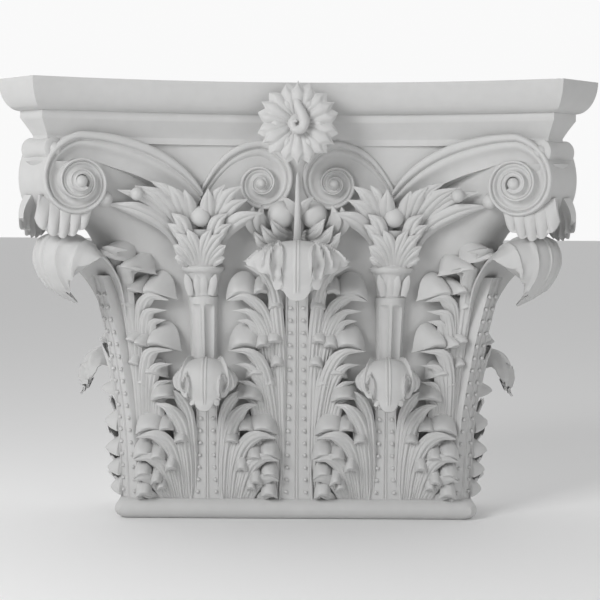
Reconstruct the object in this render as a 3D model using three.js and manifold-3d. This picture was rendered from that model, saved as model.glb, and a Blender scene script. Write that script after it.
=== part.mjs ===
// A moulded Corinthian pilaster capital: one solid casting with a flat back. A half-round neck
// ring carries a flaring bell, two rows of acanthus leaves, stems with fluted shafts, corner
// volutes and inner scrolls, and a concave abacus with cut corners and a flower at its middle.
import * as THREE from "three";
import { mergeVertices } from "three/addons/utils/BufferGeometryUtils.js";
import Module from "manifold-3d";

const wasm = await Module();
wasm.setup();

// Driving dimensions, in millimetres.
const OVERALL_WIDTH = 571;
const OVERALL_HEIGHT = 434;
const OVERALL_DEPTH = 208;
const NECK_WIDTH = 366;
const RING_HEIGHT = 20;
const RING_BULGE = 12;
const RING_FLAT = 4; // how far the resting face reaches out of the bell
const ABACUS_CONCAVITY = 57;
const CORNER_CUT = 40;
const OVOLO_HEIGHT = 30;
const OVOLO_PROJECTION = 17.5;
const FILLET_HEIGHT = 6.5;
const CAVETTO_HEIGHT = 17;
const CAVETTO_PROJECTION = 10.5;
const FASCIA_HEIGHT = 6;
const FASCIA_STEP = 2;
const SIDE_LEAF_DEPTH = 12.5; // how far the side leaf's stalk stands in front of the wall

// The carving is drawn in 434ths of the height, and keeps its proportions to it.
const CARVING = OVERALL_HEIGHT / 434;

// The plan is the same seen from the front and from either side: the sides mirror the front
// about the corner's diagonal, x - depth = DIAGONAL, and stop at the wall, depth 0.
const DIAGONAL = OVERALL_WIDTH / 2 - OVERALL_DEPTH;
const NECK_DEPTH = NECK_WIDTH / 2 - DIAGONAL;
const WALL_Y = NECK_DEPTH / 2;
const HALF_SPAN = OVERALL_WIDTH / 2 - CORNER_CUT;
const ABACUS_HEIGHT = OVOLO_HEIGHT + FILLET_HEIGHT + CAVETTO_HEIGHT + FASCIA_HEIGHT;
const ABACUS_BOTTOM = OVERALL_HEIGHT - ABACUS_HEIGHT;
const ABACUS_INSET = OVOLO_PROJECTION + CAVETTO_PROJECTION;
const BELL_FOOT = NECK_DEPTH - RING_BULGE;
const BELL_TOP = OVERALL_DEPTH - ABACUS_CONCAVITY - ABACUS_INSET - FASCIA_STEP;
const STEM_AXIS = NECK_WIDTH * 0.261;
const LEAF_AXIS = NECK_WIDTH * 0.246;

const FRONT_STEPS = 10;
const SIDE_STEPS = 3;

// The bell from the ring to the abacus: share of its height, share of its flare, share of the
// abacus concavity that its front takes up, and the width of its corner cut.
const BELL_LEVELS = [
  [0, 0, 0, 6],
  [0.25, 0.03, 0, 6],
  [0.45, 0.17, 0, 8],
  [0.62, 0.41, 0, 12],
  [0.76, 0.69, 0.1, 20],
  [0.86, 0.9, 0.44, 30],
  [1, 1, 0.88, 36],
];

function bellAt(z) {
  const share = THREE.MathUtils.clamp((z - RING_HEIGHT) / (ABACUS_BOTTOM - RING_HEIGHT), 0, 1);
  const upper = Math.max(1, BELL_LEVELS.findIndex((row) => row[0] >= share));
  const [low, high] = [BELL_LEVELS[upper - 1], BELL_LEVELS[upper]];
  const t = (share - low[0]) / (high[0] - low[0]);
  const [flare, bow, cut] = [1, 2, 3].map((k) => THREE.MathUtils.lerp(low[k], high[k], t));
  return {
    front: BELL_FOOT + (BELL_TOP - BELL_FOOT) * flare,
    sag: ABACUS_CONCAVITY * bow,
    cut: cut * CARVING,
  };
}

function frontDepth(x, z) {
  const { front, sag } = bellAt(z);
  return front + sag * (x / HALF_SPAN) ** 2;
}

const scaled = (points) => points.map((p) => p.map((v) => v * CARVING));

// Where the bowed front line meets the corner line x + depth = sum.
function meetCorner(front, sag, sum) {
  if (sag < 1e-6) return sum - front;
  const a = sag / HALF_SPAN ** 2;
  return (Math.sqrt(1 + 4 * a * (sum - front)) - 1) / (2 * a);
}

// Where the bowed front line meets the diagonal: the sharp corner before it is cut.
function sharpCorner(front, sag) {
  if (sag < 1e-6) return front + DIAGONAL;
  const a = sag / HALF_SPAN ** 2;
  return (1 - Math.sqrt(1 - 4 * a * (front + DIAGONAL))) / (2 * a);
}

const mirrorSide = ([x, d, z]) => [d + DIAGONAL, x - DIAGONAL, z];
const mirrorLeft = ([x, d, z]) => [-x, d, z];
const toWorld = ([x, d, z]) => new THREE.Vector3(x, WALL_Y - d, z);

function planRing(z, front, sag, sum) {
  const end = meetCorner(front, sag, sum);
  const at = (x) => [x, front + sag * (x / HALF_SPAN) ** 2, z];
  const side = [];
  for (let i = 0; i <= SIDE_STEPS; i++)
    side.push(mirrorSide(at(THREE.MathUtils.lerp(DIAGONAL, end, i / SIDE_STEPS))));
  const ring = side.slice();
  for (let i = 0; i <= FRONT_STEPS; i++) ring.push(at(end - (2 * end * i) / FRONT_STEPS));
  return ring.concat(side.reverse().map(mirrorLeft));
}

function bellRing(z, swell) {
  const { front, sag, cut } = bellAt(z);
  const corner = sharpCorner(front, sag);
  return planRing(z, front + swell, sag, 2 * corner - DIAGONAL - cut + 2 * swell);
}

function abacusRing(z, inset) {
  const front = OVERALL_DEPTH - ABACUS_CONCAVITY - inset;
  const sum = HALF_SPAN + OVERALL_DEPTH - inset * Math.SQRT2;
  return planRing(z, front, ABACUS_CONCAVITY, sum);
}

// A closed solid from triangles in [x, depth, z] points. Either winding is accepted.
function solidOf(points, triangles) {
  const world = points.map(toWorld);
  let volume = 0;
  for (const [a, b, c] of triangles)
    volume += world[a].dot(new THREE.Vector3().crossVectors(world[b], world[c]));
  const geometry = new THREE.BufferGeometry();
  const order = triangles.flatMap(([a, b, c]) => (volume < 0 ? [a, c, b] : [a, b, c]));
  geometry.setAttribute(
    "position",
    new THREE.Float32BufferAttribute(world.flatMap((p) => p.toArray()), 3),
  );
  geometry.setIndex(order);
  return manifoldOf(geometry);
}

function manifoldOf(source) {
  const bare = source.clone();
  bare.deleteAttribute("normal");
  bare.deleteAttribute("uv");
  const merged = mergeVertices(bare, 1e-4);
  const mesh = new wasm.Mesh({
    numProp: 3,
    vertProperties: new Float32Array(merged.attributes.position.array),
    triVerts: new Uint32Array(merged.index.array),
  });
  return new wasm.Manifold(mesh);
}

// A skin through rings of the same number of points, closed at both ends by flat fans.
function loft(rings) {
  const n = rings[0].length;
  const points = rings.flat();
  const triangles = [];
  for (let r = 0; r + 1 < rings.length; r++)
    for (let i = 0; i < n; i++) {
      const [a, b] = [r * n + i, r * n + ((i + 1) % n)];
      triangles.push([a, b, b + n], [a, b + n, a + n]);
    }
  for (const [ring, start] of [
    [rings[0], 0],
    [rings.at(-1), (rings.length - 1) * n],
  ]) {
    if (n < 6) {
      for (let i = 1; i + 1 < n; i++)
        triangles.push(start ? [start, start + i, start + i + 1] : [start, start + i + 1, start + i]);
      continue;
    }
    const middle = [0, 1, 2].map((k) => ring.reduce((sum, p) => sum + p[k], 0) / n);
    points.push(middle);
    const hub = points.length - 1;
    for (let i = 0; i < n; i++) {
      const [a, b] = [start + i, start + ((i + 1) % n)];
      triangles.push(start ? [hub, a, b] : [hub, b, a]);
    }
  }
  return solidOf(points, triangles);
}

// A solid between two copies of one outline, whose flat ends may have hollows in their edge.
function slab(outline, nearPoint, farPoint) {
  const flat = outline.map(([u, z]) => new THREE.Vector2(u, z));
  const faces = THREE.ShapeUtils.triangulateShape(flat, []);
  const n = outline.length;
  const points = [...outline.map(nearPoint), ...outline.map(farPoint)];
  const clockwise = THREE.ShapeUtils.isClockWise(flat);
  const triangles = [];
  for (const [a, b, c] of faces) {
    const [p, q] = new THREE.Vector2().subVectors(flat[b], flat[a]).cross(
      new THREE.Vector2().subVectors(flat[c], flat[a])) < 0 ? [c, b] : [b, c];
    triangles.push([a, p, q], [a + n, q + n, p + n]);
  }
  for (let i = 0; i < n; i++) {
    const [a, b] = clockwise ? [(i + 1) % n, i] : [i, (i + 1) % n];
    triangles.push([b, a, a + n], [b, a + n, b + n]);
  }
  return solidOf(points, triangles);
}

function valueAt(list, t) {
  const place = t * (list.length - 1);
  const i = Math.min(Math.floor(place), list.length - 2);
  return THREE.MathUtils.lerp(list[i], list[i + 1], place - i);
}

// Points and directions at even steps of a smooth line through the given points.
function sampleSpine(spine, steps) {
  const curve = new THREE.CatmullRomCurve3(
    spine.map((p) => new THREE.Vector3(...p)), false, "centripetal");
  return Array.from({ length: steps + 1 }, (_, i) => ({
    at: curve.getPoint(i / steps),
    along: curve.getTangent(i / steps).normalize(),
  }));
}

// The widest reach to a side at which neighbouring sections of a bent line still don't cross.
function clearReach(samples, i, towards) {
  const bends = [i - 1, i + 1].filter((j) => samples[j]).map((j) => {
    const turn = samples[j].along.clone().sub(samples[i].along).dot(towards);
    return Math.abs(turn) / samples[j].at.distanceTo(samples[i].at);
  });
  return 0.7 / Math.max(...bends, 1e-6);
}

const ROOT_DEPTH = 5; // how far a mound's base lies inside the bell

// A ridged mound that stands on the bell. Its spine is drawn across, up and out of the surface.
function mound(drawn, halfWidths, place, steps = 4) {
  const spine = scaled(drawn);
  const flat = sampleSpine(spine.map(([a, z]) => [a, z, 0]), steps);
  const ridge = sampleSpine(spine, steps);
  return loft(flat.map(({ at, along }, i) => {
    const across = new THREE.Vector3(along.y, -along.x, 0);
    const drawnWidth = valueAt(halfWidths, i / steps) * CARVING;
    const w = Math.min(drawnWidth, clearReach(flat, i, across));
    return [
      place(at.x - across.x * w, at.y - across.y * w, -ROOT_DEPTH),
      place(at.x, at.y, ridge[i].at.z + Math.min(4 * CARVING, w * 0.6)),
      place(at.x + across.x * w, at.y + across.y * w, -ROOT_DEPTH),
    ];
  }));
}

// A blade that stands free of the bell, flat or with drooping edges, keeled behind.
function hood(drawn, halfWidths, place, { steps = 4, keel = 7, droop = 0 } = {}) {
  const samples = sampleSpine(scaled(drawn), steps);
  const out = new THREE.Vector3(0, 0, 1);
  let across = new THREE.Vector3().crossVectors(samples[0].along, out).normalize();
  return loft(samples.map(({ at, along }, i) => {
    across = across.addScaledVector(along, -across.dot(along)).normalize();
    const rise = new THREE.Vector3().crossVectors(across, along);
    const drawnWidth = valueAt(halfWidths, i / steps) * CARVING;
    const w = Math.min(drawnWidth, clearReach(samples, i, across));
    const thick = Math.min(CARVING, w / 6);
    const down = Math.min(keel * thick, clearReach(samples, i, rise));
    const corner = (u, v) =>
      place(...at.clone().addScaledVector(across, u).addScaledVector(rise, v).toArray());
    return [
      corner(-w, -w * droop),
      corner(-w * 0.5, 3 * thick),
      corner(w * 0.5, 3 * thick),
      corner(w, -w * droop),
      corner(0, -down),
    ];
  }));
}

const acrossFlip = (points) => points.map(([a, z, h]) => [-a, z, h]);

// Leaf coordinates to the part's plan, on the front at a given middle line or round a corner.
const onFront = (middle) => (a, z, h) => [middle + a, frontDepth(middle + a, z) + h, z];

const CORNER_ROUND = 24 * CARVING;
function onCorner(a, z, h) {
  const { front, sag } = bellAt(z);
  const corner = sharpCorner(front, sag);
  const reach = CORNER_ROUND + h;
  const turn = Math.min(Math.abs(a) / reach, Math.PI / 4);
  const beyond = Math.max(0, Math.abs(a) - (reach * Math.PI) / 4);
  const hollow = frontDepth(corner - CORNER_ROUND - beyond, z) - (corner - DIAGONAL);
  const point = [
    corner - CORNER_ROUND + reach * Math.cos(Math.PI / 4 + turn) - beyond,
    corner - DIAGONAL - CORNER_ROUND + reach * Math.sin(Math.PI / 4 + turn)
      + (hollow * turn * 4) / Math.PI,
    z,
  ];
  return a < 0 ? mirrorSide(point) : point;
}

// One acanthus leaf: a stalk that curls over into a hooded head, side lobes of the head, and
// rows of lobes that leave the stalk, arch outwards and droop.
function leaf(place, { head, headWidths, headSides, lobes, sides = [1, -1] }) {
  const made = [hood(head, headWidths, place, { steps: 10, droop: 0.2 })];
  for (const side of sides) {
    const turned = (points) => (side > 0 ? points : acrossFlip(points));
    for (const { spine, widths } of headSides) made.push(hood(turned(spine), widths, place));
    for (const { spine, widths } of lobes) made.push(mound(turned(spine), widths, place));
  }
  return made;
}

const LEAF = { foot: 18, lobes: 4 };

function lowerLobes() {
  return Array.from({ length: LEAF.lobes }, (_, i) => {
    const foot = 42 - 7 * i;
    const tip = 30 + 22 * i;
    return {
      spine: [
        [foot, LEAF.foot, 0],
        [foot + 2, LEAF.foot + (tip - LEAF.foot) * 0.55, 6],
        [48 - 2 * i, tip - 2, 13],
        [57, tip + 6, 16],
        [66, tip + 4, 10],
      ],
      widths: [4, 8, 12, 14, 12, 5],
    };
  });
}

const LOWER_LEAF = {
  head: [
    [0, LEAF.foot, 0],
    [0, 90, 3],
    [0, 138, 8],
    [0, 160, 26],
    [0, 154, 46],
    [0, 134, 50],
    [0, 118, 40],
  ],
  headWidths: [17, 15, 12, 12, 24, 26, 22, 9],
  headSides: [
    {
      spine: [[12, 60, 0], [18, 118, 8], [27, 142, 22], [38, 144, 34], [47, 134, 38]],
      widths: [4, 8, 14, 14, 6],
    },
  ],
  lobes: lowerLobes(),
};

function upperLobes(tips) {
  return tips.map(([reach, tip], i) => ({
    spine: [
      [26 - 9 * i, LEAF.foot, 0],
      [24 - 8 * i, LEAF.foot + (tip - LEAF.foot) * 0.6, 6],
      [32 - 4 * i, tip - 26, 12],
      [reach - 8, tip - 6, 18],
      [reach + 4, tip - 2, 12],
    ],
    widths: [6, 12, 16, 18, 15, 6],
  }));
}

const CENTRE_LEAF = {
  head: [
    [0, LEAF.foot, 0],
    [0, 150, 6],
    [0, 240, 14],
    [0, 274, 24],
    [0, 280, 42],
    [0, 262, 54],
    [0, 242, 52],
    [0, 230, 44],
  ],
  headWidths: [16, 14, 12, 11, 18, 32, 30, 22, 10],
  headSides: [
    {
      spine: [[8, 180, 2], [18, 232, 12], [29, 258, 26], [42, 264, 38], [53, 258, 40]],
      widths: [4, 9, 15, 14, 6],
    },
  ],
  lobes: upperLobes([[50, 186], [50, 238]]),
};

const CORNER_LEAF = {
  head: [
    [0, LEAF.foot, 4],
    [0, 120, 14],
    [0, 210, 24],
    [0, 262, 34],
    [0, 285, 50],
    [0, 282, 74],
    [0, 260, 86],
    [0, 240, 82],
    [0, 226, 68],
  ],
  headWidths: [13, 11, 10, 12, 22, 28, 26, 20, 8],
  headSides: [
    {
      spine: [[6, 185, 6], [12, 232, 20], [22, 256, 34], [35, 262, 34], [48, 256, 22]],
      widths: [5, 10, 16, 15, 6],
    },
  ],
  lobes: upperLobes([[46, 184], [48, 240]]),
};

// Both kinds of scroll: a band that rises from the stem along a bent line and winds in.
const CORNER_SCROLL = {
  line: [[-2, 330], [18, 366], [65, 386], [120, 385]],
  underside: [[100, 355], [84, 355], [66, 347], [47, 337], [30, 331], [2, 312]],
  centre: [121, 337],
  quarter: 35.5,
  shrink: 0.86,
  lift: 0.16,
};

const INNER_SCROLL = {
  line: [[-2, 328], [10, 352], [25, 379], [57, 380]],
  underside: [[50, 357], [39, 354], [32, 346], [31, 336], [16, 318], [2, 312]],
  centre: [59.5, 337.4],
  quarter: 31,
  shrink: 0.81,
  lift: 0.1,
};

const TURN_STEPS = 4; // points in a quarter turn

function scrollEdge({ line, centre, quarter, shrink, lift }, quarters) {
  const [p0, p1, p2, p3] = line.map(([u, z]) => new THREE.Vector2(u, z));
  const start = new THREE.CubicBezierCurve(p0, p1, p2, p3).getPoints(6).slice(0, -1);
  const edge = start.map((p) => [p.x, p.y]);
  const first = quarter / shrink;
  for (let i = 0; i <= quarters * TURN_STEPS; i++) {
    const q = i / TURN_STEPS;
    const r = first * shrink ** q * (1 + lift * Math.max(0, 1 - q) ** 2);
    const angle = (q * Math.PI) / 2;
    edge.push([centre[0] + r * Math.sin(angle), centre[1] + r * Math.cos(angle)]);
  }
  return edge;
}

// The raised rim along a scroll's edge.
const RIM = { width: 8, raise: 5, quarters: 7 };
const rimRaise = RIM.raise * CARVING;

function rimOutline(scroll) {
  const edge = scrollEdge(scroll, RIM.quarters);
  const inner = edge.map(([u, z], i) => {
    const [before, after] = [edge[Math.max(0, i - 1)], edge[Math.min(edge.length - 1, i + 1)]];
    const [du, dz] = [after[0] - before[0], after[1] - before[1]];
    const length = Math.hypot(du, dz);
    const wide = RIM.width * THREE.MathUtils.lerp(1, 0.45, i / edge.length);
    return [u + (dz / length) * wide, z - (du / length) * wide];
  });
  return [...edge, ...inner.reverse()];
}

const shaped = (outline) => outline.map(([u, z]) => [u * CARVING, z * CARVING]);

// The corner volute's face stands upright from the stem to below the abacus corner.
const VOLUTE_PROUD = 6 * CARVING;
const voluteRoot = [STEM_AXIS, frontDepth(STEM_AXIS, 355 * CARVING) + VOLUTE_PROUD];
const RIM_SETBACK = 46.5; // from the abacus corner cut's middle to the volute's rim, along x
const rimX = OVERALL_WIDTH / 2 - RIM_SETBACK;
const rimDepth = OVERALL_DEPTH - 0.387 * RIM_SETBACK;
const faceTurn = Math.atan2(rimDepth - voluteRoot[1], rimX - voluteRoot[0]);

const onVolute = (out) => ([u, z]) => [
  voluteRoot[0] + u * Math.cos(faceTurn) - out * Math.sin(faceTurn),
  voluteRoot[1] + u * Math.sin(faceTurn) + out * Math.cos(faceTurn),
  z,
];

function cornerVolute() {
  const body = shaped([...scrollEdge(CORNER_SCROLL, 3.4), ...CORNER_SCROLL.underside]);
  const rim = shaped(rimOutline(CORNER_SCROLL));
  const face = onVolute(-rimRaise);
  const raised = slab(rim, onVolute(0), onVolute(-2 * rimRaise));
  return [slab(body, face, (p) => mirrorSide(face(p))), raised];
}

const HELIX_PROUD = 8 * CARVING;
const helixDepth = frontDepth(0, 345 * CARVING) + HELIX_PROUD;
const onHelix = (out) => ([u, z]) => [STEM_AXIS - u, helixDepth + out, z];

function innerScroll() {
  const body = shaped([...scrollEdge(INNER_SCROLL, 3.3), ...INNER_SCROLL.underside]);
  return [
    slab(body, onHelix(-rimRaise), onHelix(-4 * HELIX_PROUD)),
    slab(shaped(rimOutline(INNER_SCROLL)), onHelix(0), onHelix(-2 * rimRaise)),
  ];
}

// Ring of an upright turned piece. Its flutes are every other corner drawn in towards the axis.
function roundRing(centre, radius, z, flute = 0, count = 12) {
  return Array.from({ length: count }, (_, i) => {
    const angle = (2 * Math.PI * i) / count;
    const r = radius * (i % 2 ? 1 : 1 - flute);
    return [centre[0] + r * Math.cos(angle), centre[1] + r * Math.sin(angle), z];
  });
}

function turned(centreAt, profile) {
  return loft(profile.map(([radius, z, flute]) =>
    roundRing(centreAt(z * CARVING), radius * CARVING, z * CARVING, flute)));
}

function ball([x, d, z], radius) {
  const sphere = new THREE.SphereGeometry(radius, 8, 5);
  const p = toWorld([x, d, z]);
  return manifoldOf(sphere.translate(p.x, p.y, p.z));
}

const stemAt = (z) => [
  STEM_AXIS - (1 - z / ABACUS_BOTTOM) * 5 * CARVING, frontDepth(STEM_AXIS, z) + 2 * CARVING];

// Radius, height and fluting of the stem: shaft, cup of small leaves, collar and calyx.
const STEM_PROFILE = [
  [12.5, 120, 0.25], [15, 220, 0.25], [15, 225, 0], [17, 249, 0.12], [20, 252, 0],
  [20, 257, 0], [16, 260, 0], [22, 276, 0.15], [21, 290, 0.3],
];

function stem() {
  const top = stemAt(300 * CARVING);
  const made = [
    turned(stemAt, STEM_PROFILE),
    ball([top[0], top[1] + 12 * CARVING, 304 * CARVING], 11 * CARVING),
  ];
  for (const side of [1, -1]) {
    const tip = [[side * 10, 268, 14], [side * 18, 290, 20], [side * 24, 303, 22],
      [side * 27, 297, 28]];
    made.push(hood(tip, [4, 8, 7, 2], onFront(STEM_AXIS), { steps: 3 }));
  }
  return made;
}

// The husk that sheaths a scroll where it leaves the stem, ending in a bud.
function husk(side, place, blades) {
  return blades.map(({ spine, widths }) =>
    mound(spine.map(([a, z, h]) => [side * a, z, h]), widths, place));
}

const OUTER_HUSK = [
  {
    spine: [[14, 262, 8], [26, 290, 12], [48, 312, 16], [74, 322, 20], [94, 320, 22]],
    widths: [6, 9, 10, 9, 6],
  },
  {
    spine: [[12, 280, 14], [22, 306, 18], [44, 326, 20], [70, 330, 22]],
    widths: [5, 8, 9, 5],
  },
];
const INNER_HUSK = [
  {
    spine: [[14, 262, 8], [20, 290, 14], [34, 308, 16], [56, 312, 18]],
    widths: [6, 8, 9, 8],
  },
  {
    spine: [[10, 284, 14], [16, 312, 18], [32, 324, 20]],
    widths: [5, 7, 5],
  },
];

// The hanging leaf under a corner volute, its lower edge cut into scallops.
const APRON = { from: 92, to: 152, top: 325, height: 41, scallops: 4 };

function voluteApron() {
  const { from, to, top, height, scallops } = APRON;
  const outline = [[from, top]];
  for (let i = 0; i <= 2 * scallops; i++) {
    const t = i / (2 * scallops);
    const notch = i % 2 ? 0 : 0.17;
    const rise = height * (0.34 * (1 - t) ** 3 + 0.24 * t ** 4 + notch);
    outline.push([THREE.MathUtils.lerp(from, to, t), top - height + rise]);
  }
  outline.push([to, top]);
  const face = onVolute(-7 * CARVING);
  return [slab(shaped(outline), face, (p) => mirrorSide(face(p)))];
}

// The small roll between the abacus corner and the volutes, its axis across the diagonal.
function cornerRoll() {
  const [half, radius, z] = [20 * CARVING, 12 * CARVING, ABACUS_BOTTOM - 6 * CARVING];
  const reach = (OVERALL_WIDTH / 2 + OVERALL_DEPTH - CORNER_CUT - 44 * CARVING) / 2;
  const middle = [reach + DIAGONAL / 2, reach - DIAGONAL / 2];
  const rings = [-1, 1].map((end) =>
    Array.from({ length: 12 }, (_, i) => {
      const angle = (2 * Math.PI * i) / 12;
      const along = (end * half) / Math.SQRT2;
      const back = (radius * Math.cos(angle)) / Math.SQRT2;
      return [middle[0] + along + back, middle[1] - along + back, z + radius * Math.sin(angle)];
    }));
  return loft(rings);
}

const FLOWER = { z: 394, radius: 38, petals: 6, points: 3 };

function flower() {
  const count = FLOWER.petals * FLOWER.points;
  const z = FLOWER.z * CARVING;
  const back = OVERALL_DEPTH - ABACUS_CONCAVITY - ABACUS_INSET;
  const ring = (share, out, notch) =>
    Array.from({ length: count }, (_, i) => {
      const angle = (2 * Math.PI * i) / count - Math.PI / 2;
      const r = FLOWER.radius * share * (i % 2 ? 1 - notch : 1) * CARVING;
      return [r * Math.cos(angle), back + out * CARVING, z + r * Math.sin(angle)];
    });
  const disc = loft([ring(0.8, 0, 0), ring(0.97, 38, 0.14), ring(1, 43, 0.14),
    ring(0.62, 48, 0), ring(0.24, 45, 0)]);
  const place = (a, zz, h) => [a, back + h, zz];
  const tail = hood(
    [[0, 424, 46], [-1, 408, 52], [5, 398, 54], [5, 388, 54], [-2, 383, 52]],
    [4, 4, 5, 5, 4], place);
  return [disc, ball([0, back + 48 * CARVING, 392 * CARVING], 9 * CARVING), tail];
}

// The cup of leaves behind the middle leaf's head, and the flower's stalk above it.
function middleCalyx() {
  const place = onFront(0);
  const made = [mound([[0, 288, 16], [0, 325, 14], [0, 372, 12]], [7, 5, 6], place)];
  for (const side of [1, -1])
    made.push(mound(
      [[side * 15, 262, 14], [side * 22, 292, 24], [side * 33, 314, 22]],
      [10, 17, 9], place));
  return made;
}

function bodyRings() {
  const rings = [];
  const middle = RING_HEIGHT / 2;
  const flat = Math.asin(Math.sqrt(1 - (RING_FLAT / RING_BULGE) ** 2));
  for (let i = 0; i <= 6; i++) {
    const angle = THREE.MathUtils.lerp(-flat, flat, i / 6);
    const z = middle + (middle * Math.sin(angle)) / Math.sin(flat);
    const swell = RING_BULGE * Math.cos(angle);
    rings.push(bellRing(Math.min(z, RING_HEIGHT), swell).map(([x, d]) => [x, d, z]));
  }
  rings.push(bellRing(RING_HEIGHT, 0));
  for (const [share] of BELL_LEVELS.slice(1))
    rings.push(bellRing(THREE.MathUtils.lerp(RING_HEIGHT, ABACUS_BOTTOM, share), 0));
  return rings;
}

function abacusRings() {
  const rings = [abacusRing(ABACUS_BOTTOM, ABACUS_INSET)];
  const foot = ABACUS_BOTTOM + FASCIA_HEIGHT;
  for (let i = 0; i <= 3; i++) {
    const angle = (Math.PI / 2) * (i / 3);
    const inset = OVOLO_PROJECTION + CAVETTO_PROJECTION * Math.cos(angle);
    rings.push(abacusRing(foot + CAVETTO_HEIGHT * (1 - Math.cos(angle)) ** 0.9, inset));
  }
  const ovolo = foot + CAVETTO_HEIGHT + FILLET_HEIGHT;
  for (let i = 0; i <= 4; i++) {
    const angle = (Math.PI / 2) * (i / 4);
    const inset = OVOLO_PROJECTION * (1 - Math.sin(angle));
    rings.push(abacusRing(ovolo + OVOLO_HEIGHT * (1 - Math.cos(angle)), inset));
  }
  return rings;
}

function mirrored(solids) {
  return solids.flatMap((s) => [s, s.mirror([1, 0, 0])]);
}

function build() {
  const sideLeaf = onFront(DIAGONAL + SIDE_LEAF_DEPTH);
  const onSide = (a, z, h) => mirrorSide(sideLeaf(a, z, h));
  const pieces = [loft([...bodyRings(), ...abacusRings()])];
  pieces.push(...leaf(onFront(0), CENTRE_LEAF), ...middleCalyx(), ...flower());
  pieces.push(...mirrored([
    ...leaf(onFront(LEAF_AXIS), LOWER_LEAF),
    ...leaf(onSide, { ...LOWER_LEAF, sides: [1] }),
    ...leaf(onCorner, CORNER_LEAF),
    ...cornerVolute(),
    ...innerScroll(),
    ...stem(),
    ...husk(1, onFront(STEM_AXIS), OUTER_HUSK),
    ...husk(-1, onFront(STEM_AXIS), INNER_HUSK),
    ...voluteApron(),
    cornerRoll(),
  ]));
  const whole = pieces.reduce((sum, piece) => sum.add(piece));
  const wall = new THREE.BoxGeometry(2 * OVERALL_WIDTH, OVERALL_DEPTH, 2 * OVERALL_HEIGHT);
  return whole.subtract(manifoldOf(wall.translate(0, WALL_Y + OVERALL_DEPTH / 2, 0)));
}

const SAME_PLACE = 0.05;
const SHORTEST_EDGE = 1;
const THINNEST_FACE = 0.05;
const TIDY_PASSES = 24;

// Draws together corners that are practically one point, with the faces this flattens left out.
function weld(points, faces) {
  const parent = points.map((_, i) => i);
  const root = (v) => (parent[v] === v ? v : (parent[v] = root(parent[v])));
  for (const face of faces)
    for (let k = 0; k < 3; k++) {
      const [a, b] = [face[k], face[(k + 1) % 3]];
      if (points[a].distanceTo(points[b]) < SAME_PLACE) parent[root(a)] = root(b);
    }
  const kept = new Map();
  for (const face of faces) {
    const f = face.map(root);
    if (new Set(f).size < 3) continue;
    const key = f.slice().sort((a, b) => a - b).join();
    if (kept.has(key)) kept.delete(key);
    else kept.set(key, f);
  }
  return [...kept.values()];
}

// Closes up the very short edges and very thin faces that joining leaves along its seams. One
// pass changes each neighbourhood once at most, and the skin stays closed throughout.
function tidyPass(points, faces) {
  const around = points.map(() => []);
  faces.forEach((face, i) => face.forEach((v) => around[v].push(i)));
  const neighbours = (v) => new Set(around[v].flatMap((i) => faces[i]).filter((u) => u !== v));
  const normal = (a, b, c) => new THREE.Vector3().crossVectors(
    points[b].clone().sub(points[a]), points[c].clone().sub(points[a]));
  const sidesOf = (face) =>
    [0, 1, 2].map((k) => points[face[k]].distanceTo(points[face[(k + 1) % 3]]));
  const thickness = (face) => normal(...face).length() / Math.max(...sidesOf(face), 1e-9);
  const touched = new Set();
  const gone = new Set();
  const busy = (list) => list.some((v) => touched.has(v));
  const mark = (list) => list.forEach((v) => touched.add(v));
  let changes = 0;

  const collapse = (keep, drop) => {
    const near = [...neighbours(keep)].filter((v) => neighbours(drop).has(v));
    const ring = [keep, drop, ...neighbours(keep), ...neighbours(drop)];
    if (near.length !== 2 || busy(ring)) return false;
    for (const i of around[drop]) {
      if (faces[i].includes(keep)) continue;
      if (thickness(faces[i]) < THINNEST_FACE) continue;
      const before = normal(...faces[i]).normalize();
      const after = normal(...faces[i].map((v) => (v === drop ? keep : v))).normalize();
      if (before.dot(after) < 0.6) return false;
    }
    for (const i of around[drop]) {
      if (faces[i].includes(keep)) gone.add(i);
      else faces[i] = faces[i].map((v) => (v === drop ? keep : v));
    }
    mark(ring);
    return true;
  };

  const short = [];
  for (const [i, face] of faces.entries())
    for (let k = 0; k < 3; k++) {
      const [a, b] = [face[k], face[(k + 1) % 3]];
      const length = points[a].distanceTo(points[b]);
      if (a < b && length < SHORTEST_EDGE) short.push([length, a, b, i]);
    }
  for (const [, a, b] of short.sort((p, q) => p[0] - q[0]))
    if (!busy([a, b]) && (collapse(a, b) || collapse(b, a))) changes++;

  for (const [i, face] of faces.entries()) {
    if (gone.has(i) || busy(face) || thickness(face) > THINNEST_FACE) continue;
    const sides = sidesOf(face);
    const k = sides.indexOf(Math.max(...sides));
    const [a, b, c] = [face[k], face[(k + 1) % 3], face[(k + 2) % 3]];
    const j = around[a].find((f) => f !== i && !gone.has(f) && faces[f].includes(b));
    const d = faces[j]?.find((v) => v !== a && v !== b);
    if (d === undefined || touched.has(d)) continue;
    if (neighbours(c).has(d)) {
      const near = sides[(k + 1) % 3] < sides[(k + 2) % 3] ? b : a;
      if (collapse(near, c)) changes++;
      continue;
    }
    faces[i] = [a, d, c];
    faces[j] = [d, b, c];
    mark([a, b, c, d]);
    changes++;
  }
  return { faces: faces.filter((_, i) => !gone.has(i)), changes };
}

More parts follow.
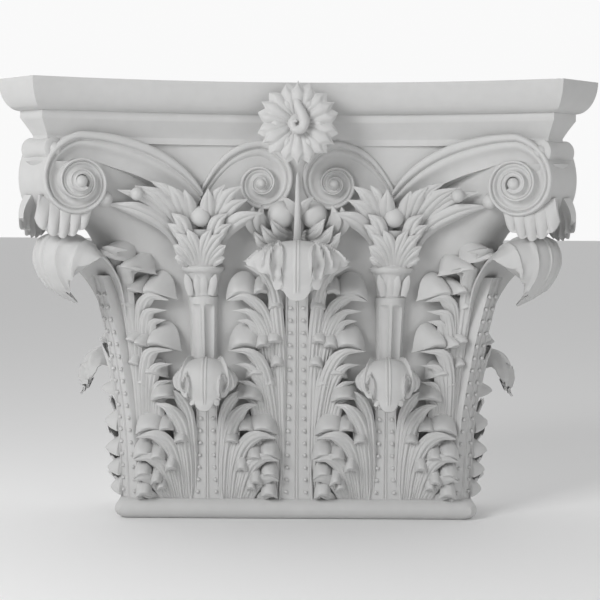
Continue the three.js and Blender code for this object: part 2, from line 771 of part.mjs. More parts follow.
function geometryOf(manifold) {
  const { vertProperties, triVerts, numProp, numVert } = manifold.getMesh();
  const points = Array.from({ length: numVert }, (_, i) =>
    new THREE.Vector3().fromArray(vertProperties, i * numProp));
  let faces = Array.from({ length: triVerts.length / 3 }, (_, i) =>
    Array.from(triVerts.subarray(3 * i, 3 * i + 3)));
  faces = weld(points, faces);
  for (let pass = 0; pass < TIDY_PASSES; pass++) {
    const result = tidyPass(points, faces);
    faces = result.faces;
    if (!result.changes) break;
  }
  const geometry = new THREE.BufferGeometry();
  const used = faces.flat().flatMap((v) => points[v].toArray());
  geometry.setAttribute("position", new THREE.Float32BufferAttribute(used, 3));
  const merged = mergeVertices(geometry, 1e-4);
  merged.computeVertexNormals();
  return merged;
}

const casting = new THREE.MeshStandardMaterial({
  color: 0xdedede,
  roughness: 0.55,
  metalness: 0,
});
const capital = new THREE.Mesh(geometryOf(build()), casting);
capital.name = "capital";

const part = new THREE.Group();
part.add(capital);
export default part;
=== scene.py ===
"""A moulded Corinthian pilaster capital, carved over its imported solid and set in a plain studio.

Lengths are in millimetres until a shape becomes a mesh. A point of the capital is given as
x, to the right, d, out of the wall, and z, up. Leaf work is given as a, across, z, up, and h,
out of the surface that it grows from.
"""

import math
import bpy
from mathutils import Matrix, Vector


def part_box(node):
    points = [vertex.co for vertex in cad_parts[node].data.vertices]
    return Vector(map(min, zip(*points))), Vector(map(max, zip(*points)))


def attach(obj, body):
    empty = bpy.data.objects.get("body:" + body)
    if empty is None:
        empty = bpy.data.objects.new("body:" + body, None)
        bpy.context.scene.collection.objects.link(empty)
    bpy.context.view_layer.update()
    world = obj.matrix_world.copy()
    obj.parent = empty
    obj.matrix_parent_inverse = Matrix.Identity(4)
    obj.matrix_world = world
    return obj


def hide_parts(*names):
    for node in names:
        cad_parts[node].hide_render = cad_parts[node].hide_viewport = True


bl_info = {
    "name": "Corinthian pilaster capital",
    "version": (1, 0, 0),
    "blender": (4, 5, 0),
    "location": "View3D > Sidebar > Capital",
    "description": "Carves the acanthus, scrolls and mouldings of a pilaster capital",
    "category": "Object",
}

import bmesh
import bpy
import numpy as np
from mathutils import Vector

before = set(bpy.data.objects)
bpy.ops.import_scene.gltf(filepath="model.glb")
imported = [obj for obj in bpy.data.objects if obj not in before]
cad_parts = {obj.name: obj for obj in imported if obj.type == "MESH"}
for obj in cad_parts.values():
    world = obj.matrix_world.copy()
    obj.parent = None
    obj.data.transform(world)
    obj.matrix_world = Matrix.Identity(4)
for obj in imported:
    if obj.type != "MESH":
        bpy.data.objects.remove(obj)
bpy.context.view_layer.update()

MM = 0.001
NODE = "capital"
BODY = "root"

LOW, HIGH = (np.array(corner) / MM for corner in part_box(NODE))
WIDTH, DEPTH, HEIGHT = HIGH - LOW
WALL_Y = HIGH[1]

# Sizes that the solid was drawn with.
NECK_WIDTH = 366.0
RING_HEIGHT = 20.0
RING_BULGE = 12.0
RING_FLAT = 4.0
CONCAVITY = 57.0
CORNER_CUT = 40.0
OVOLO_HEIGHT, OVOLO_OUT = 30.0, 17.5
FILLET_HEIGHT = 6.5
CAVETTO_HEIGHT, CAVETTO_OUT = 17.0, 10.5
FASCIA_HEIGHT, FASCIA_STEP = 6.0, 2.0

DIAGONAL = WIDTH / 2 - DEPTH
NECK_DEPTH = NECK_WIDTH / 2 - DIAGONAL
HALF_SPAN = WIDTH / 2 - CORNER_CUT
ABACUS_BOTTOM = HEIGHT - OVOLO_HEIGHT - FILLET_HEIGHT - CAVETTO_HEIGHT - FASCIA_HEIGHT
ABACUS_INSET = OVOLO_OUT + CAVETTO_OUT
ABACUS_FRONT = DEPTH - CONCAVITY - ABACUS_INSET
BELL_FOOT = NECK_DEPTH - RING_BULGE
BELL_TOP = ABACUS_FRONT - FASCIA_STEP
STEM_AXIS = NECK_WIDTH * 0.261
LEAF_AXIS = NECK_WIDTH * 0.246
LEAF_FOOT = 19.0

# The bell: share of its height, share of its flare, share of the abacus concavity, corner cut.
BELL_LEVELS = np.array([
    [0, 0, 0, 6],
    [0.25, 0.03, 0, 6],
    [0.45, 0.17, 0, 8],
    [0.62, 0.41, 0, 12],
    [0.76, 0.69, 0.1, 20],
    [0.86, 0.9, 0.44, 30],
    [1, 1, 0.88, 36],
])


def smooth_line(points, t):
    """Points at shares t along a smooth line through the given points."""
    p = np.asarray(points, float)
    if p.ndim == 1:
        return smooth_line(np.column_stack([np.arange(len(p)), p]), t)[..., 1]
    gaps = np.sqrt(np.maximum(np.linalg.norm(np.diff(p, axis=0), axis=1), 1e-6))
    knots = np.concatenate([[0], np.cumsum(gaps)])
    slopes = np.gradient(p, knots, axis=0)
    k = np.clip(np.asarray(t, float), 0, 1) * knots[-1]
    i = np.clip(np.searchsorted(knots, k, side="right") - 1, 0, len(p) - 2)
    span = (knots[i + 1] - knots[i])[..., None]
    s = (k - knots[i])[..., None] / span
    return (
        (1 + 2 * s) * (1 - s) ** 2 * p[i]
        + s * (1 - s) ** 2 * span * slopes[i]
        + s * s * (3 - 2 * s) * p[i + 1]
        + s * s * (s - 1) * span * slopes[i + 1]
    )


def bell_at(z):
    """The bell at a height: distance of its front from the wall, hollow and corner cut."""
    share = np.clip((z - RING_HEIGHT) / (ABACUS_BOTTOM - RING_HEIGHT), 0, 1)
    flare, bow, cut = (np.interp(share, BELL_LEVELS[:, 0], BELL_LEVELS[:, k]) for k in (1, 2, 3))
    return BELL_FOOT + (BELL_TOP - BELL_FOOT) * flare, CONCAVITY * bow, cut


def front_depth(x, z):
    """Distance of the bell's front from the wall."""
    front, sag, _ = bell_at(z)
    return front + sag * (x / HALF_SPAN) ** 2


def sharp_corner(front, sag):
    """x where a hollow front meets the diagonal through the corner."""
    a = np.maximum(sag, 1e-6) / HALF_SPAN**2
    return np.where(
        sag < 1e-4, front + DIAGONAL, (1 - np.sqrt(1 - 4 * a * (front + DIAGONAL))) / (2 * a)
    )


def meet_corner(front, sag, total):
    """x where a hollow front meets a corner cut along x + d = total."""
    a = max(sag, 1e-6) / HALF_SPAN**2
    return (math.sqrt(1 + 4 * a * (total - front)) - 1) / (2 * a)


def mirror_side(x, d, z):
    """The front's point turned over the diagonal on to the side."""
    return d + DIAGONAL, x - DIAGONAL, z


def on_front(middle):
    """Places leaf work on the front, about a line at x = middle."""
    def place(a, z, h):
        return middle + a, front_depth(middle + a, z) + h, z

    return place


def on_side(a, z, h):
    return mirror_side(*on_front(LEAF_AXIS)(a, z, h))


CORNER_ROUND = 24.0
LEAST_REACH = 4.0  # least radius of the rounding


def on_corner(a, z, h):
    """Places leaf work round the bell's corner, which it rounds off."""
    front, sag, _ = bell_at(z)
    corner = sharp_corner(front, sag)
    reach = np.maximum(CORNER_ROUND + h, LEAST_REACH)
    turn = np.minimum(np.abs(a) / reach, math.pi / 4)
    beyond = np.maximum(0, np.abs(a) - reach * math.pi / 4)
    hollow = front_depth(corner - CORNER_ROUND - beyond, z) - (corner - DIAGONAL)
    x = corner - CORNER_ROUND + reach * np.cos(math.pi / 4 + turn) - beyond
    d = (
        corner - DIAGONAL - CORNER_ROUND
        + reach * np.sin(math.pi / 4 + turn)
        + hollow * turn * 4 / math.pi
    )
    return np.where(a < 0, d + DIAGONAL, x), np.where(a < 0, x - DIAGONAL, d), z


def to_world(points):
    """Metres in the shared frame, from x, d, z in millimetres."""
    return np.column_stack([points[:, 0], WALL_Y - points[:, 1], points[:, 2]]) * MM


def add_object(name, data):
    made = bpy.data.objects.new(name, data)
    bpy.context.scene.collection.objects.link(made)
    return made


def feed(tree, socket, value):
    """Links an output to an input, or sets the input to a plain value."""
    if isinstance(value, bpy.types.NodeSocket):
        tree.links.new(value, socket)
    else:
        socket.default_value = value


def feed_node(tree, kind, **values):
    """A new node, or the one given, with its inputs fed. _ stands for a space in their names."""
    node = tree.nodes.new(kind) if isinstance(kind, str) else kind
    for name, value in values.items():
        feed(tree, node.inputs[name.replace("_", " ")], value)
    return node


def maths(tree, operation, *values):
    node = tree.nodes.new("ShaderNodeMath")
    node.operation = operation
    for socket, value in zip(node.inputs, values):
        feed(tree, socket, value)
    return node.outputs[0]


CAP_STEP = 0.08  # how much deeper each cap at the wall lies than the one before


def cut_at_wall(mesh):
    """Cuts closed shells off flat at the wall and closes them there. Each cap lies a little
    deeper than the one before, because faces that share a plane render black."""
    shape = bmesh.new()
    shape.from_mesh(mesh)
    bmesh.ops.bisect_plane(
        shape, geom=shape.verts[:] + shape.edges[:] + shape.faces[:],
        plane_co=(0, WALL_Y * MM, 0), plane_no=(0, 1, 0), clear_outer=True)
    made = bmesh.ops.holes_fill(
        shape, edges=[edge for edge in shape.edges if edge.is_boundary], sides=0)
    for place, face in enumerate(made["faces"]):
        face.normal_update()
        if face.normal.y < 0:
            face.normal_flip()
        for vert in face.verts:
            vert.co.y -= CAP_STEP * (place + 1) * MM
    shape.to_mesh(mesh)
    shape.free()


UNDERSIDE_STEP = 3  # the underside of a thin body keeps one column of its grid in so many
SHARP_ANGLE = math.radians(38)


class Carving:
    """Closed shells gathered into one mesh."""

    def __init__(self):
        self.points, self.faces, self.count = [], [], 0

    def add(self, points, faces):
        """Takes in a closed shell of x, d, z points, turned so that its faces point outwards."""
        p = to_world(np.asarray(points, float))
        f = np.asarray(faces, int)
        a, b, c, d = (p[f[:, k]] for k in range(4))
        volume = np.einsum("ij,ij->", a, np.cross(b, c)) + np.einsum("ij,ij->", a, np.cross(c, d))
        if volume < 0:
            f = f[:, ::-1]
        self.points.append(p)
        self.faces.append(f + self.count)
        self.count += len(p)

    def loft(self, rings, hub=None):
        """A skin through closed rings, an array of rings, points and x, d, z. Each end is closed
        by a fan round its middle, or round the given x, d."""
        rings = np.asarray(rings, float)
        count, size = rings.shape[:2]
        index = np.arange(count * size).reshape(count, size)
        ahead = np.roll(index, -1, axis=1)
        skin = np.stack([index[:-1], ahead[:-1], ahead[1:], index[1:]], axis=-1).reshape(-1, 4)
        hubs = np.array([rings[0].mean(axis=0), rings[-1].mean(axis=0)])
        if hub is not None:
            hubs[:, :2] = hub
        first, last = count * size, count * size + 1
        near = np.stack([ahead[0], index[0], np.full(size, first), np.full(size, first)], axis=-1)
        far = np.stack([index[-1], ahead[-1], np.full(size, last), np.full(size, last)], axis=-1)
        self.add(np.vstack([rings.reshape(-1, 3), hubs]), np.vstack([skin, near, far]))

    def wafer(self, top, bottom):
        """A thin closed body between two grids of points. The plain lower one is thinned out."""
        last = bottom.shape[1] - 1
        kept = np.append(np.arange(last, 0, -UNDERSIDE_STEP), 0)
        self.loft(np.concatenate([top, bottom[:, kept]], axis=1))

    def mirrored(self):
        """The same again on the left of the centre plane."""
        for points, faces in list(zip(self.points, self.faces)):
            start = faces.min()
            flipped = points * np.array([-1, 1, 1])
            self.points.append(flipped)
            self.faces.append((faces - start)[:, ::-1] + self.count)
            self.count += len(points)
        return self

    def mesh_object(self, name):
        points = np.vstack(self.points)
        mesh = bpy.data.meshes.new(name)
        faces = [tuple(dict.fromkeys(face)) for face in np.vstack(self.faces).tolist()]
        mesh.from_pydata(points.tolist(), [], faces)
        mesh.validate()
        if points[:, 1].max() > WALL_Y * MM:
            cut_at_wall(mesh)
        mesh.polygons.foreach_set("use_smooth", [True] * len(mesh.polygons))
        mesh.set_sharp_from_angle(angle=SHARP_ANGLE)
        return add_object(name, mesh)


def directions(p):
    along = np.gradient(p, axis=0)
    return along / np.maximum(np.linalg.norm(along, axis=1, keepdims=True), 1e-9)


def line_frames(spine, count=160):
    """Points, directions across and directions outwards along a smooth spine."""
    t = np.linspace(0, 1, count)
    p = smooth_line(spine, t)
    along = directions(p)
    across = np.zeros_like(p)
    across[0] = np.cross(along[0], (0, 0, 1))
    across[0] /= max(np.linalg.norm(across[0]), 1e-9)
    for i in range(1, count):
        across[i] = across[i - 1] - along[i] * np.dot(across[i - 1], along[i])
        across[i] /= np.linalg.norm(across[i])
    return p, across, np.cross(across, along)


def along_line(values, tau):
    """Values read at shares tau along a line, between its neighbouring entries."""
    place = np.clip(tau, 0, 1) * (len(values) - 1)
    i = np.minimum(place.astype(int), len(values) - 2)
    s = (place - i)[..., None]
    return values[i] * (1 - s) + values[i + 1] * s


def seen_side(rise):
    """1 where a blade shows its inner face, -1 where it has curled over and shows its back."""
    return np.clip(rise[..., 2] + np.minimum(rise[..., 1], 0), -1, 1)


LEAST_HALF = 0.6  # least half width of a blade
FULL_HALF = 8.0  # half width from which a blade has all of its thickness
THIN_EDGE = 0.7


def blade_grid(spine, widths, u, t, crown=3.0, fingers=1, notch=0.0, round_off=0.25, flutes=0,
               flute=0.0, thick=3.0, keel=0.0):
    """The two faces of a blade as grids of across, up, out points. Its lower face is plain."""
    u, t = np.meshgrid(u, t)
    finger = 1 - np.abs(np.cos(math.pi * fingers * (u + 1) / 2))
    end = 1 - round_off * np.abs(u) ** 2.6 - notch * (1 - finger)
    tau = t * end
    p, across, rise = (along_line(v, tau) for v in line_frames(spine))
    seen = seen_side(rise)
    w = np.maximum(smooth_line(widths, tau), LEAST_HALF)
    plump = np.clip(w / FULL_HALF, 0.25, 1)
    lift = low = crown * plump * (1 - u * u)
    if flutes:
        groove = np.abs(np.sin(math.pi * flutes * (u + 1) / 2)) ** 0.8
        body = np.clip(seen * 1.5, 0, 1) * np.clip(1.25 - tau, 0, 1)
        low = lift - 0.5 * flute * plump * body * (1 - u**6)
        lift = low + flute * plump * groove * body * (1 - u**6)
    full = (1 - np.abs(u) ** 2.2) * np.clip((1 - t) * 6, 0.3, 1)
    shell = THIN_EDGE + (thick * plump - THIN_EDGE) * full
    root = keel * (1 - u * u) * (1 - tau) * np.clip(seen, 0, 1)
    side = p + across * (u * w)[..., None]
    top = side + rise * (seen * lift + shell / 2)[..., None]
    bottom = side + rise * (seen * low - shell / 2 - root)[..., None]
    return top, bottom


def share_grid(columns, rows, start=-1):
    """Shares across, from start to 1, and along, from 0 to 1, with so many steps each way."""
    return np.meshgrid(np.linspace(start, 1, columns + 1), np.linspace(0, 1, rows + 1))


def stacked(*parts):
    return np.stack(parts, axis=-1)


def round_once(steps):
    return np.linspace(0, 2 * math.pi, steps, endpoint=False)


def placed(place, grid):
    """A grid of across, up, out points as x, d, z points."""
    return stacked(*place(grid[..., 0], grid[..., 1], grid[..., 2]))


def add_wafer(carving, place, front, back):
    carving.wafer(placed(place, front), placed(place, back))


def blade(carving, place, spine, widths, size, side=1, **form):
    """Adds one blade. side -1 makes its mirror image across its own axis."""
    spine = [(a * side, z, h) for a, z, h in spine]
    u = np.sin(np.linspace(-math.pi / 2, math.pi / 2, size[1] + 1))
    top, bottom = blade_grid(spine, widths, u, np.linspace(0, 1, size[0] + 1), **form)
    add_wafer(carving, place, top, bottom)


def cord_rings(points, radii, sides):
    """Rings round a line of points."""
    p = np.asarray(points, float)
    along = directions(p)
    angle = round_once(sides)[:, None]
    start = np.cross(along[0], (0.31, 0.87, 0.39))
    rings = []
    for i, at in enumerate(p):
        start = start - along[i] * np.dot(start, along[i])
        start /= np.linalg.norm(start)
        other = np.cross(along[i], start)
        rings.append(at + radii[i] * (np.cos(angle) * start + np.sin(angle) * other))
    return rings


def level_ring(x, d, z, radius, angle, flat=1.0):
    return np.column_stack([
        x + radius * np.cos(angle), d + radius * np.sin(angle) * flat, np.full(len(angle), z)
    ])


BALL_ROWS, BALL_SIDES = 14, 20
POLE = 0.04  # angle from a ball's pole to its first row


def ball(carving, centre, radius, flat=1.0):
    """A ball, or one flattened towards the wall."""
    angle = round_once(BALL_SIDES)
    x, d, z = centre
    carving.loft([
        level_ring(x, d, z + radius * np.cos(q), radius * np.sin(q), angle, flat)
        for q in np.linspace(POLE, math.pi - POLE, BALL_ROWS)
    ])


# Neck ring, bell and abacus

FRONT_STEPS, SIDE_STEPS = 96, 20


def plan_ring(z, front, sag, total):
    """A level outline from wall to wall, with hollow faces and a cut corner."""
    end = meet_corner(front, sag, total)
    x = np.linspace(DIAGONAL, end, SIDE_STEPS + 1)
    curve = front + sag * (x / HALF_SPAN) ** 2
    right = np.column_stack([curve + DIAGONAL, x - DIAGONAL, np.full(len(x), z)])
    x = np.linspace(end, -end, FRONT_STEPS + 1)
    middle = np.column_stack([x, front + sag * (x / HALF_SPAN) ** 2, np.full(len(x), z)])
    return np.vstack([right, middle, right[::-1] * (-1, 1, 1)])


def bell_ring(z, swell=0.0):
    front, sag, cut = (float(v) for v in bell_at(z))
    corner = float(sharp_corner(front, sag))
    return plan_ring(z, front + swell, sag, 2 * corner - DIAGONAL - cut + 2 * swell)


def abacus_ring(z, inset):
    return plan_ring(
        z, DEPTH - CONCAVITY - inset, CONCAVITY, HALF_SPAN + DEPTH - inset * math.sqrt(2)
    )


WALL_HUB = 12.0  # distance from the wall of a point that sees all of the abacus's outline
RING_ROWS, BELL_ROWS, CAVETTO_ROWS, OVOLO_ROWS = 17, 50, 13, 17
FASCIA_EDGE = 0.6  # how far under the cavetto the fascia's upright face ends


def carve_body(carving):
    """The neck ring, the bell, and the abacus with its fascia, cavetto, fillet and ovolo."""
    flat = math.acos(RING_FLAT / RING_BULGE)
    rings = []
    for angle in np.linspace(-flat, flat, RING_ROWS):
        z = RING_HEIGHT / 2 * (1 + math.sin(angle) / math.sin(flat))
        rings.append(bell_ring(z, RING_BULGE * math.cos(angle)))
    rings += [bell_ring(z) for z in np.linspace(RING_HEIGHT, ABACUS_BOTTOM, BELL_ROWS)]
    z = ABACUS_BOTTOM
    rings += [abacus_ring(level, ABACUS_INSET) for level in (z, z + FASCIA_HEIGHT - FASCIA_EDGE)]
    z += FASCIA_HEIGHT
    for angle in np.linspace(0, math.pi / 2, CAVETTO_ROWS):
        rise = CAVETTO_HEIGHT * (1 - math.cos(angle)) ** 0.9
        rings.append(abacus_ring(z + rise, OVOLO_OUT + CAVETTO_OUT * math.cos(angle)))
    z += CAVETTO_HEIGHT + FILLET_HEIGHT
    for angle in np.linspace(0, math.pi / 2, OVOLO_ROWS):
        out = OVOLO_OUT * (1 - math.sin(angle))
        rings.append(abacus_ring(z + OVOLO_HEIGHT * (1 - math.cos(angle)), out))
    carving.loft(rings, hub=(0, WALL_HUB))


# Acanthus leaves

STALK_FLARE = 7.0  # how much wider a stalk is at its foot than at its head
STALK_ROWS = 60
STALK_BACK = -4.0  # how far a stalk's back lies out of the bell
# A stalk's section from its border to its middle: place across as a share, height.
STALK_SECTION = np.array([
    [-1, -6], [-0.96, 1.5], [-0.9, 2.2], [-0.84, 1.5], [-0.8, 0], [-0.4, 0], [-0.13, 0.2],
    [-0.09, 1.3], [-0.05, 1.1], [0, 0.1],
])


def stalk_form(z, top, lean, half):
    """A stalk's half width and reach out of the bell at the heights z."""
    share = (z - LEAF_FOOT) / (top - LEAF_FOOT)
    return half + STALK_FLARE * (1 - share) ** 2, lean[0] + (lean[1] - lean[0]) * share**1.6


def stalk(carving, place, top, lean, half=11.0):
    """A leaf's middle stalk: a plain panel with a double rib along it and raised borders."""
    z = np.linspace(LEAF_FOOT, top, STALK_ROWS)
    wide, h = stalk_form(z, top, lean, half)
    section = np.vstack([STALK_SECTION, STALK_SECTION[-2::-1] * (-1, 1)])
    a = wide[:, None] * section[:, 0]
    grid = stacked(a, z[:, None] + 0 * a, h[:, None] + section[:, 1])
    back = grid.copy()
    back[..., 2] = STALK_BACK
    add_wafer(carving, place, grid, back)


HOOD_COLUMNS, HOOD_ROWS = 20, 16
HOOD_TIP = 1.0
HOOD_HOLLOW = 0.24  # rise of the free edge's middle, as a share of the hood's height
HOOD_ROOT = 6.0  # how far out of the bell a hood starts


def hood(carving, place, side, inner, outer, top, bottom, out):
    """A smooth half dome between two distances across and two heights. It leans out towards its
    free lower edge, which is hollow, with its outer corner drawn down."""
    u, t = share_grid(HOOD_COLUMNS, HOOD_ROWS)
    middle, half, tall = (inner + outer) / 2, (outer - inner) / 2, top - bottom
    wide = half * (1 - (1 - np.clip(t * 1.1 + 0.01, 0, 1)) ** 2.4) ** 0.5
    a = middle + wide * u + 0.06 * half * t * u + 0.1 * half * (t - 0.5)
    lean = np.sin(math.pi / 2 * np.clip(t * 1.12, 0, 1)) - 0.8 * np.clip(t - 0.88, 0, 1)
    h = HOOD_ROOT + (out - HOOD_ROOT) * lean * (1 - 0.7 * np.abs(u) ** 3)
    z = top - tall * t * (1 - HOOD_HOLLOW * (1 - u * u) * t) - HOOD_TIP * u * t * t
    front = stacked(a * side, z, h)
    inside = 1 - 0.2 * np.clip((1 - t) * 5 + 0.35, 0, 1)
    back = stacked(
        (middle + (a - middle) * inside) * side,
        z - 2.4 * (1 - t),
        h - 2.2 - 1.4 * np.clip((1 - t) * 4, 0, 1),
    )
    if side < 0:
        front, back = front[:, ::-1], back[:, ::-1]
    add_wafer(carving, place, front, back)


FROND_ROWS, FLUTE_COLUMNS = 36, 8
THIRD_FLUTE = 5.6  # half width over which a frond has three flutes instead of two
# A frond's half width along its line, as a share of the widest.
FROND_WIDTHS = np.interp(
    np.linspace(0, 1, 7), [0, 0.35, 0.8, 0.93, 1], [0.5, 0.8, 1, 0.7, 0.2]
)


def frond(carving, place, side, line, half, out, flutes=None, tip=0.9, foot=0.5):
    """A ridged frond along a line of across, up points, from its foot to its pointed tip."""
    share = np.linspace(0, 1, len(line))
    height = np.interp(share, [0, 0.35, 0.75, 1], [foot, (foot + out) * 0.55, out, out * tip])
    spine = [(a, z, h) for (a, z), h in zip(line, height)]
    flutes = flutes or (3 if half > THIRD_FLUTE else 2)
    blade(carving, place, spine, FROND_WIDTHS * half, (FROND_ROWS, FLUTE_COLUMNS * flutes), side,
          crown=half * 0.35, flutes=flutes, flute=min(4.6, half * 0.66), thick=3.4, keel=8,
          round_off=0.3)


# The hoods of a lower leaf: inner and outer end, top and bottom, reach out of the bell.
LOWER_HOODS = [
    (42, 70, 112, 87, 25),
    (32, 49, 107, 89, 27),
    (53, 73, 83, 62, 24),
    (41, 57, 79, 60, 26),
    (55, 72, 62, 42, 22),
    (44, 56, 55, 35, 23),
    (55, 71, 42, 22, 19),
    (29, 55, 141, 121, 30),
    (18, 33, 94, 77, 23),
    (29, 42, 70, 48, 22),
    (40, 50, 46, 29, 18),
]
# Ridged fronds: line, half width, reach out of the bell.
LOWER_FRONDS = [
    ([(13, 24), (15, 74), (20, 110), (30, 127), (44, 133)], 6.8, 18),
    ([(17, 19), (20, 66), (27, 99), (39, 115), (51, 118)], 8, 20),
    ([(25, 19), (30, 53), (39, 77), (52, 87), (70, 84)], 8, 20),
    ([(34, 19), (39, 39), (46, 56), (57, 64), (73, 61)], 7.4, 19),
    ([(44, 19), (48, 30), (55, 40), (64, 43), (73, 40)], 6.3, 16),
    ([(21, 19), (24, 50), (28, 74), (33, 90)], 5.7, 12),
    ([(29, 19), (33, 38), (38, 56), (44, 68)], 5.7, 11),
    ([(38, 19), (42, 29), (47, 40), (53, 47)], 5.1, 10),
    ([(52, 19), (56, 23), (62, 26), (69, 24)], 5.7, 9),
]


def carve_leaf_sides(carving, place, fronds, hoods, spread=1.0):
    """Both sides of a leaf, spread out across by a factor."""
    for side in (1, -1):
        for line, half, out in fronds:
            frond(carving, place, side, [(a * spread, z) for a, z in line], half, out)
        for inner, outer, top, bottom, out in hoods:
            hood(carving, place, side, inner * spread, outer * spread, top, bottom, out)


LOWER_HEAD = [(0, 92, -2), (0, 132, 6), (0, 154, 15), (0, 162, 30), (0, 156, 44), (0, 139, 51),
              (0, 124, 50), (0, 114, 55)]


def carve_lower_leaf(carving, place):
    carve_leaf_sides(carving, place, LOWER_FRONDS, LOWER_HOODS)
    stalk(carving, place, 128, (3, 8))
    leaf_head(carving, place, LOWER_HEAD, [8, 16, 27, 31, 32, 32, 29, 27])


def ridge(u, t, across, length, line, height, width):
    """Height of a carved ridge near a line of u, t points, on a surface so wide and so long."""
    line = smooth_line([(abs(p), q) for p, q in line], np.linspace(0, 1, 40))
    scale = np.array([across, length])
    near = np.full(np.shape(u), np.inf)
    where = stacked(np.abs(u), t) * scale
    for start, end in zip(line[:-1] * scale, line[1:] * scale):
        step = end - start
        s = np.clip(((where - start) @ step) / max(step @ step, 1e-9), 0, 1)
        near = np.minimum(near, np.linalg.norm(where - start - s[..., None] * step, axis=-1))
    return height * np.exp(-((near / width) ** 2))


# The lower edge of a leaf's head and the ridges on it, as shares of its half width and length.
HEAD_EDGE = np.array([
    [0, 1.0], [0.14, 0.995], [0.24, 0.97], [0.3, 0.93], [0.335, 0.87], [0.38, 0.92], [0.44, 0.94],
    [0.5, 0.92], [0.54, 0.86], [0.58, 0.85], [0.66, 0.86], [0.74, 0.84], [0.79, 0.79], [0.86, 0.81],
    [0.93, 0.78], [1.0, 0.7],
])
HEAD_RIDGES = [
    ([(0.045, 0.45), (0.045, 0.7), (0.04, 0.93)], 1.3, 0.8),
    ([(0.64, 0.72), (0.6, 0.69), (0.55, 0.685), (0.48, 0.72), (0.46, 0.76), (0.49, 0.81),
      (0.55, 0.86)], 5.0, 1.3),
    ([(0.5, 0.45), (0.64, 0.56), (0.73, 0.66), (0.75, 0.73), (0.7, 0.78), (0.63, 0.81)], 3.2, 1.4),
    ([(0.36, 0.4), (0.62, 0.53), (0.8, 0.64), (0.9, 0.73), (0.86, 0.8)], 2.8, 1.5),
]


# The same for the wider head of the centre leaf.
WIDE_EDGE = np.array([
    [0, 1.0], [0.12, 0.995], [0.2, 0.965], [0.25, 0.93], [0.28, 0.87], [0.33, 0.91], [0.42, 0.915],
    [0.46, 0.86], [0.48, 0.79], [0.53, 0.775], [0.6, 0.8], [0.68, 0.78], [0.74, 0.7], [0.78, 0.695],
    [0.84, 0.735], [0.9, 0.7], [0.93, 0.62], [0.96, 0.6], [1.0, 0.62],
])
WIDE_RIDGES = [
    ([(0.035, 0.45), (0.035, 0.7), (0.03, 0.93)], 1.3, 0.8),
    ([(0.3, 0.82), (0.25, 0.74), (0.26, 0.66), (0.32, 0.61), (0.4, 0.62), (0.46, 0.68), (0.47, 0.75),
      (0.43, 0.82)], 4.4, 1.4),
    ([(0.38, 0.5), (0.5, 0.57), (0.58, 0.65), (0.61, 0.74)], 3.0, 1.6),
    ([(0.5, 0.46), (0.66, 0.53), (0.8, 0.6), (0.88, 0.68)], 3.0, 1.7),
]


HEAD_STEPS = 72
HEAD_CROWN, HEAD_THICK, HEAD_EDGE_THICK = 4.0, 3.5, 0.6
EYE_REACH = (0.07, 0.05)  # an eyelet's size, as shares of the half width and the length


def leaf_head(carving, place, spine, widths, edge=HEAD_EDGE, ridges=HEAD_RIDGES,
              eye=(0.61, 0.765), hollow=5.5, bow=0.42):
    """The drooping head of a leaf: a rounded hood with a scalloped lower edge, a double rib
    down its middle, an eyelet on each side and folds running up from it."""
    u, t = share_grid(HEAD_STEPS, HEAD_STEPS)
    tau = t * np.interp(np.abs(u), edge[:, 0], edge[:, 1])
    line, across, rise = line_frames(spine)
    length = np.linalg.norm(np.diff(line, axis=0), axis=1).sum()
    p, across, rise = (along_line(v, tau) for v in (line, across, rise))
    w = smooth_line(widths, tau)
    out = HEAD_CROWN * (1 - u * u) - bow * w * np.abs(u) ** 2.4
    for points, height, width in ridges:
        out += ridge(u, tau, max(widths), length, points, height, width)
    across_eye, along_eye = (np.abs(u) - eye[0]) / EYE_REACH[0], (tau - eye[1]) / EYE_REACH[1]
    out -= hollow * np.exp(-(across_eye**2) - along_eye**2)
    front = p + across * (u * w)[..., None] - rise * out[..., None]
    body = HEAD_THICK * (1 - np.abs(u) ** 6) * np.clip((1 - t) * 8, 0.25, 1) + HEAD_EDGE_THICK
    back = p + across * (u * w * 0.97)[..., None] - rise * (out - body)[..., None]
    add_wafer(carving, place, front, back)


# The hoods and fronds of an upper leaf, given as those of the lower ones are.
UPPER_HOODS = [
    (39, 69, 251, 223, 26),
    (27, 44, 247, 227, 28),
    (36, 67, 200, 171, 25),
    (26, 42, 193, 173, 26),
    (30, 50, 162, 144, 20),
    (13, 29, 229, 212, 22),
    (14, 31, 195, 177, 23),
    (12, 27, 171, 154, 19),
    (20, 34, 150, 133, 17),
]
UPPER_FRONDS = [
    ([(17, 60), (21, 150), (31, 203), (41, 220), (54, 227), (69, 222)], 6.5, 22),
    ([(20, 60), (25, 150), (35, 196), (47, 211), (64, 212)], 6, 20),
    ([(22, 60), (28, 145), (38, 188), (48, 201), (60, 202)], 5.5, 17),
    ([(19, 40), (24, 110), (34, 155), (47, 171), (68, 172)], 7, 22),
    ([(23, 30), (28, 95), (37, 140), (48, 156), (63, 158)], 6, 18),
    ([(26, 19), (31, 80), (39, 122), (47, 138), (59, 141)], 6, 15),
    ([(29, 19), (33, 66), (39, 104), (45, 120), (53, 124)], 5.5, 13),
    ([(13, 60), (15, 140), (19, 200), (25, 236), (36, 252), (52, 257)], 7, 22),
    ([(14, 19), (15, 90), (17, 160), (20, 205)], 5, 11),
    ([(20, 19), (21, 80), (23, 135), (27, 165)], 5, 11),
    ([(31, 19), (34, 50), (38, 78), (42, 98)], 5, 9),
]


CENTRE_HEAD = [(0, 196, 0), (0, 242, 10), (0, 268, 20), (0, 278, 38), (0, 273, 53), (0, 255, 60),
               (0, 238, 58), (0, 224, 59)]


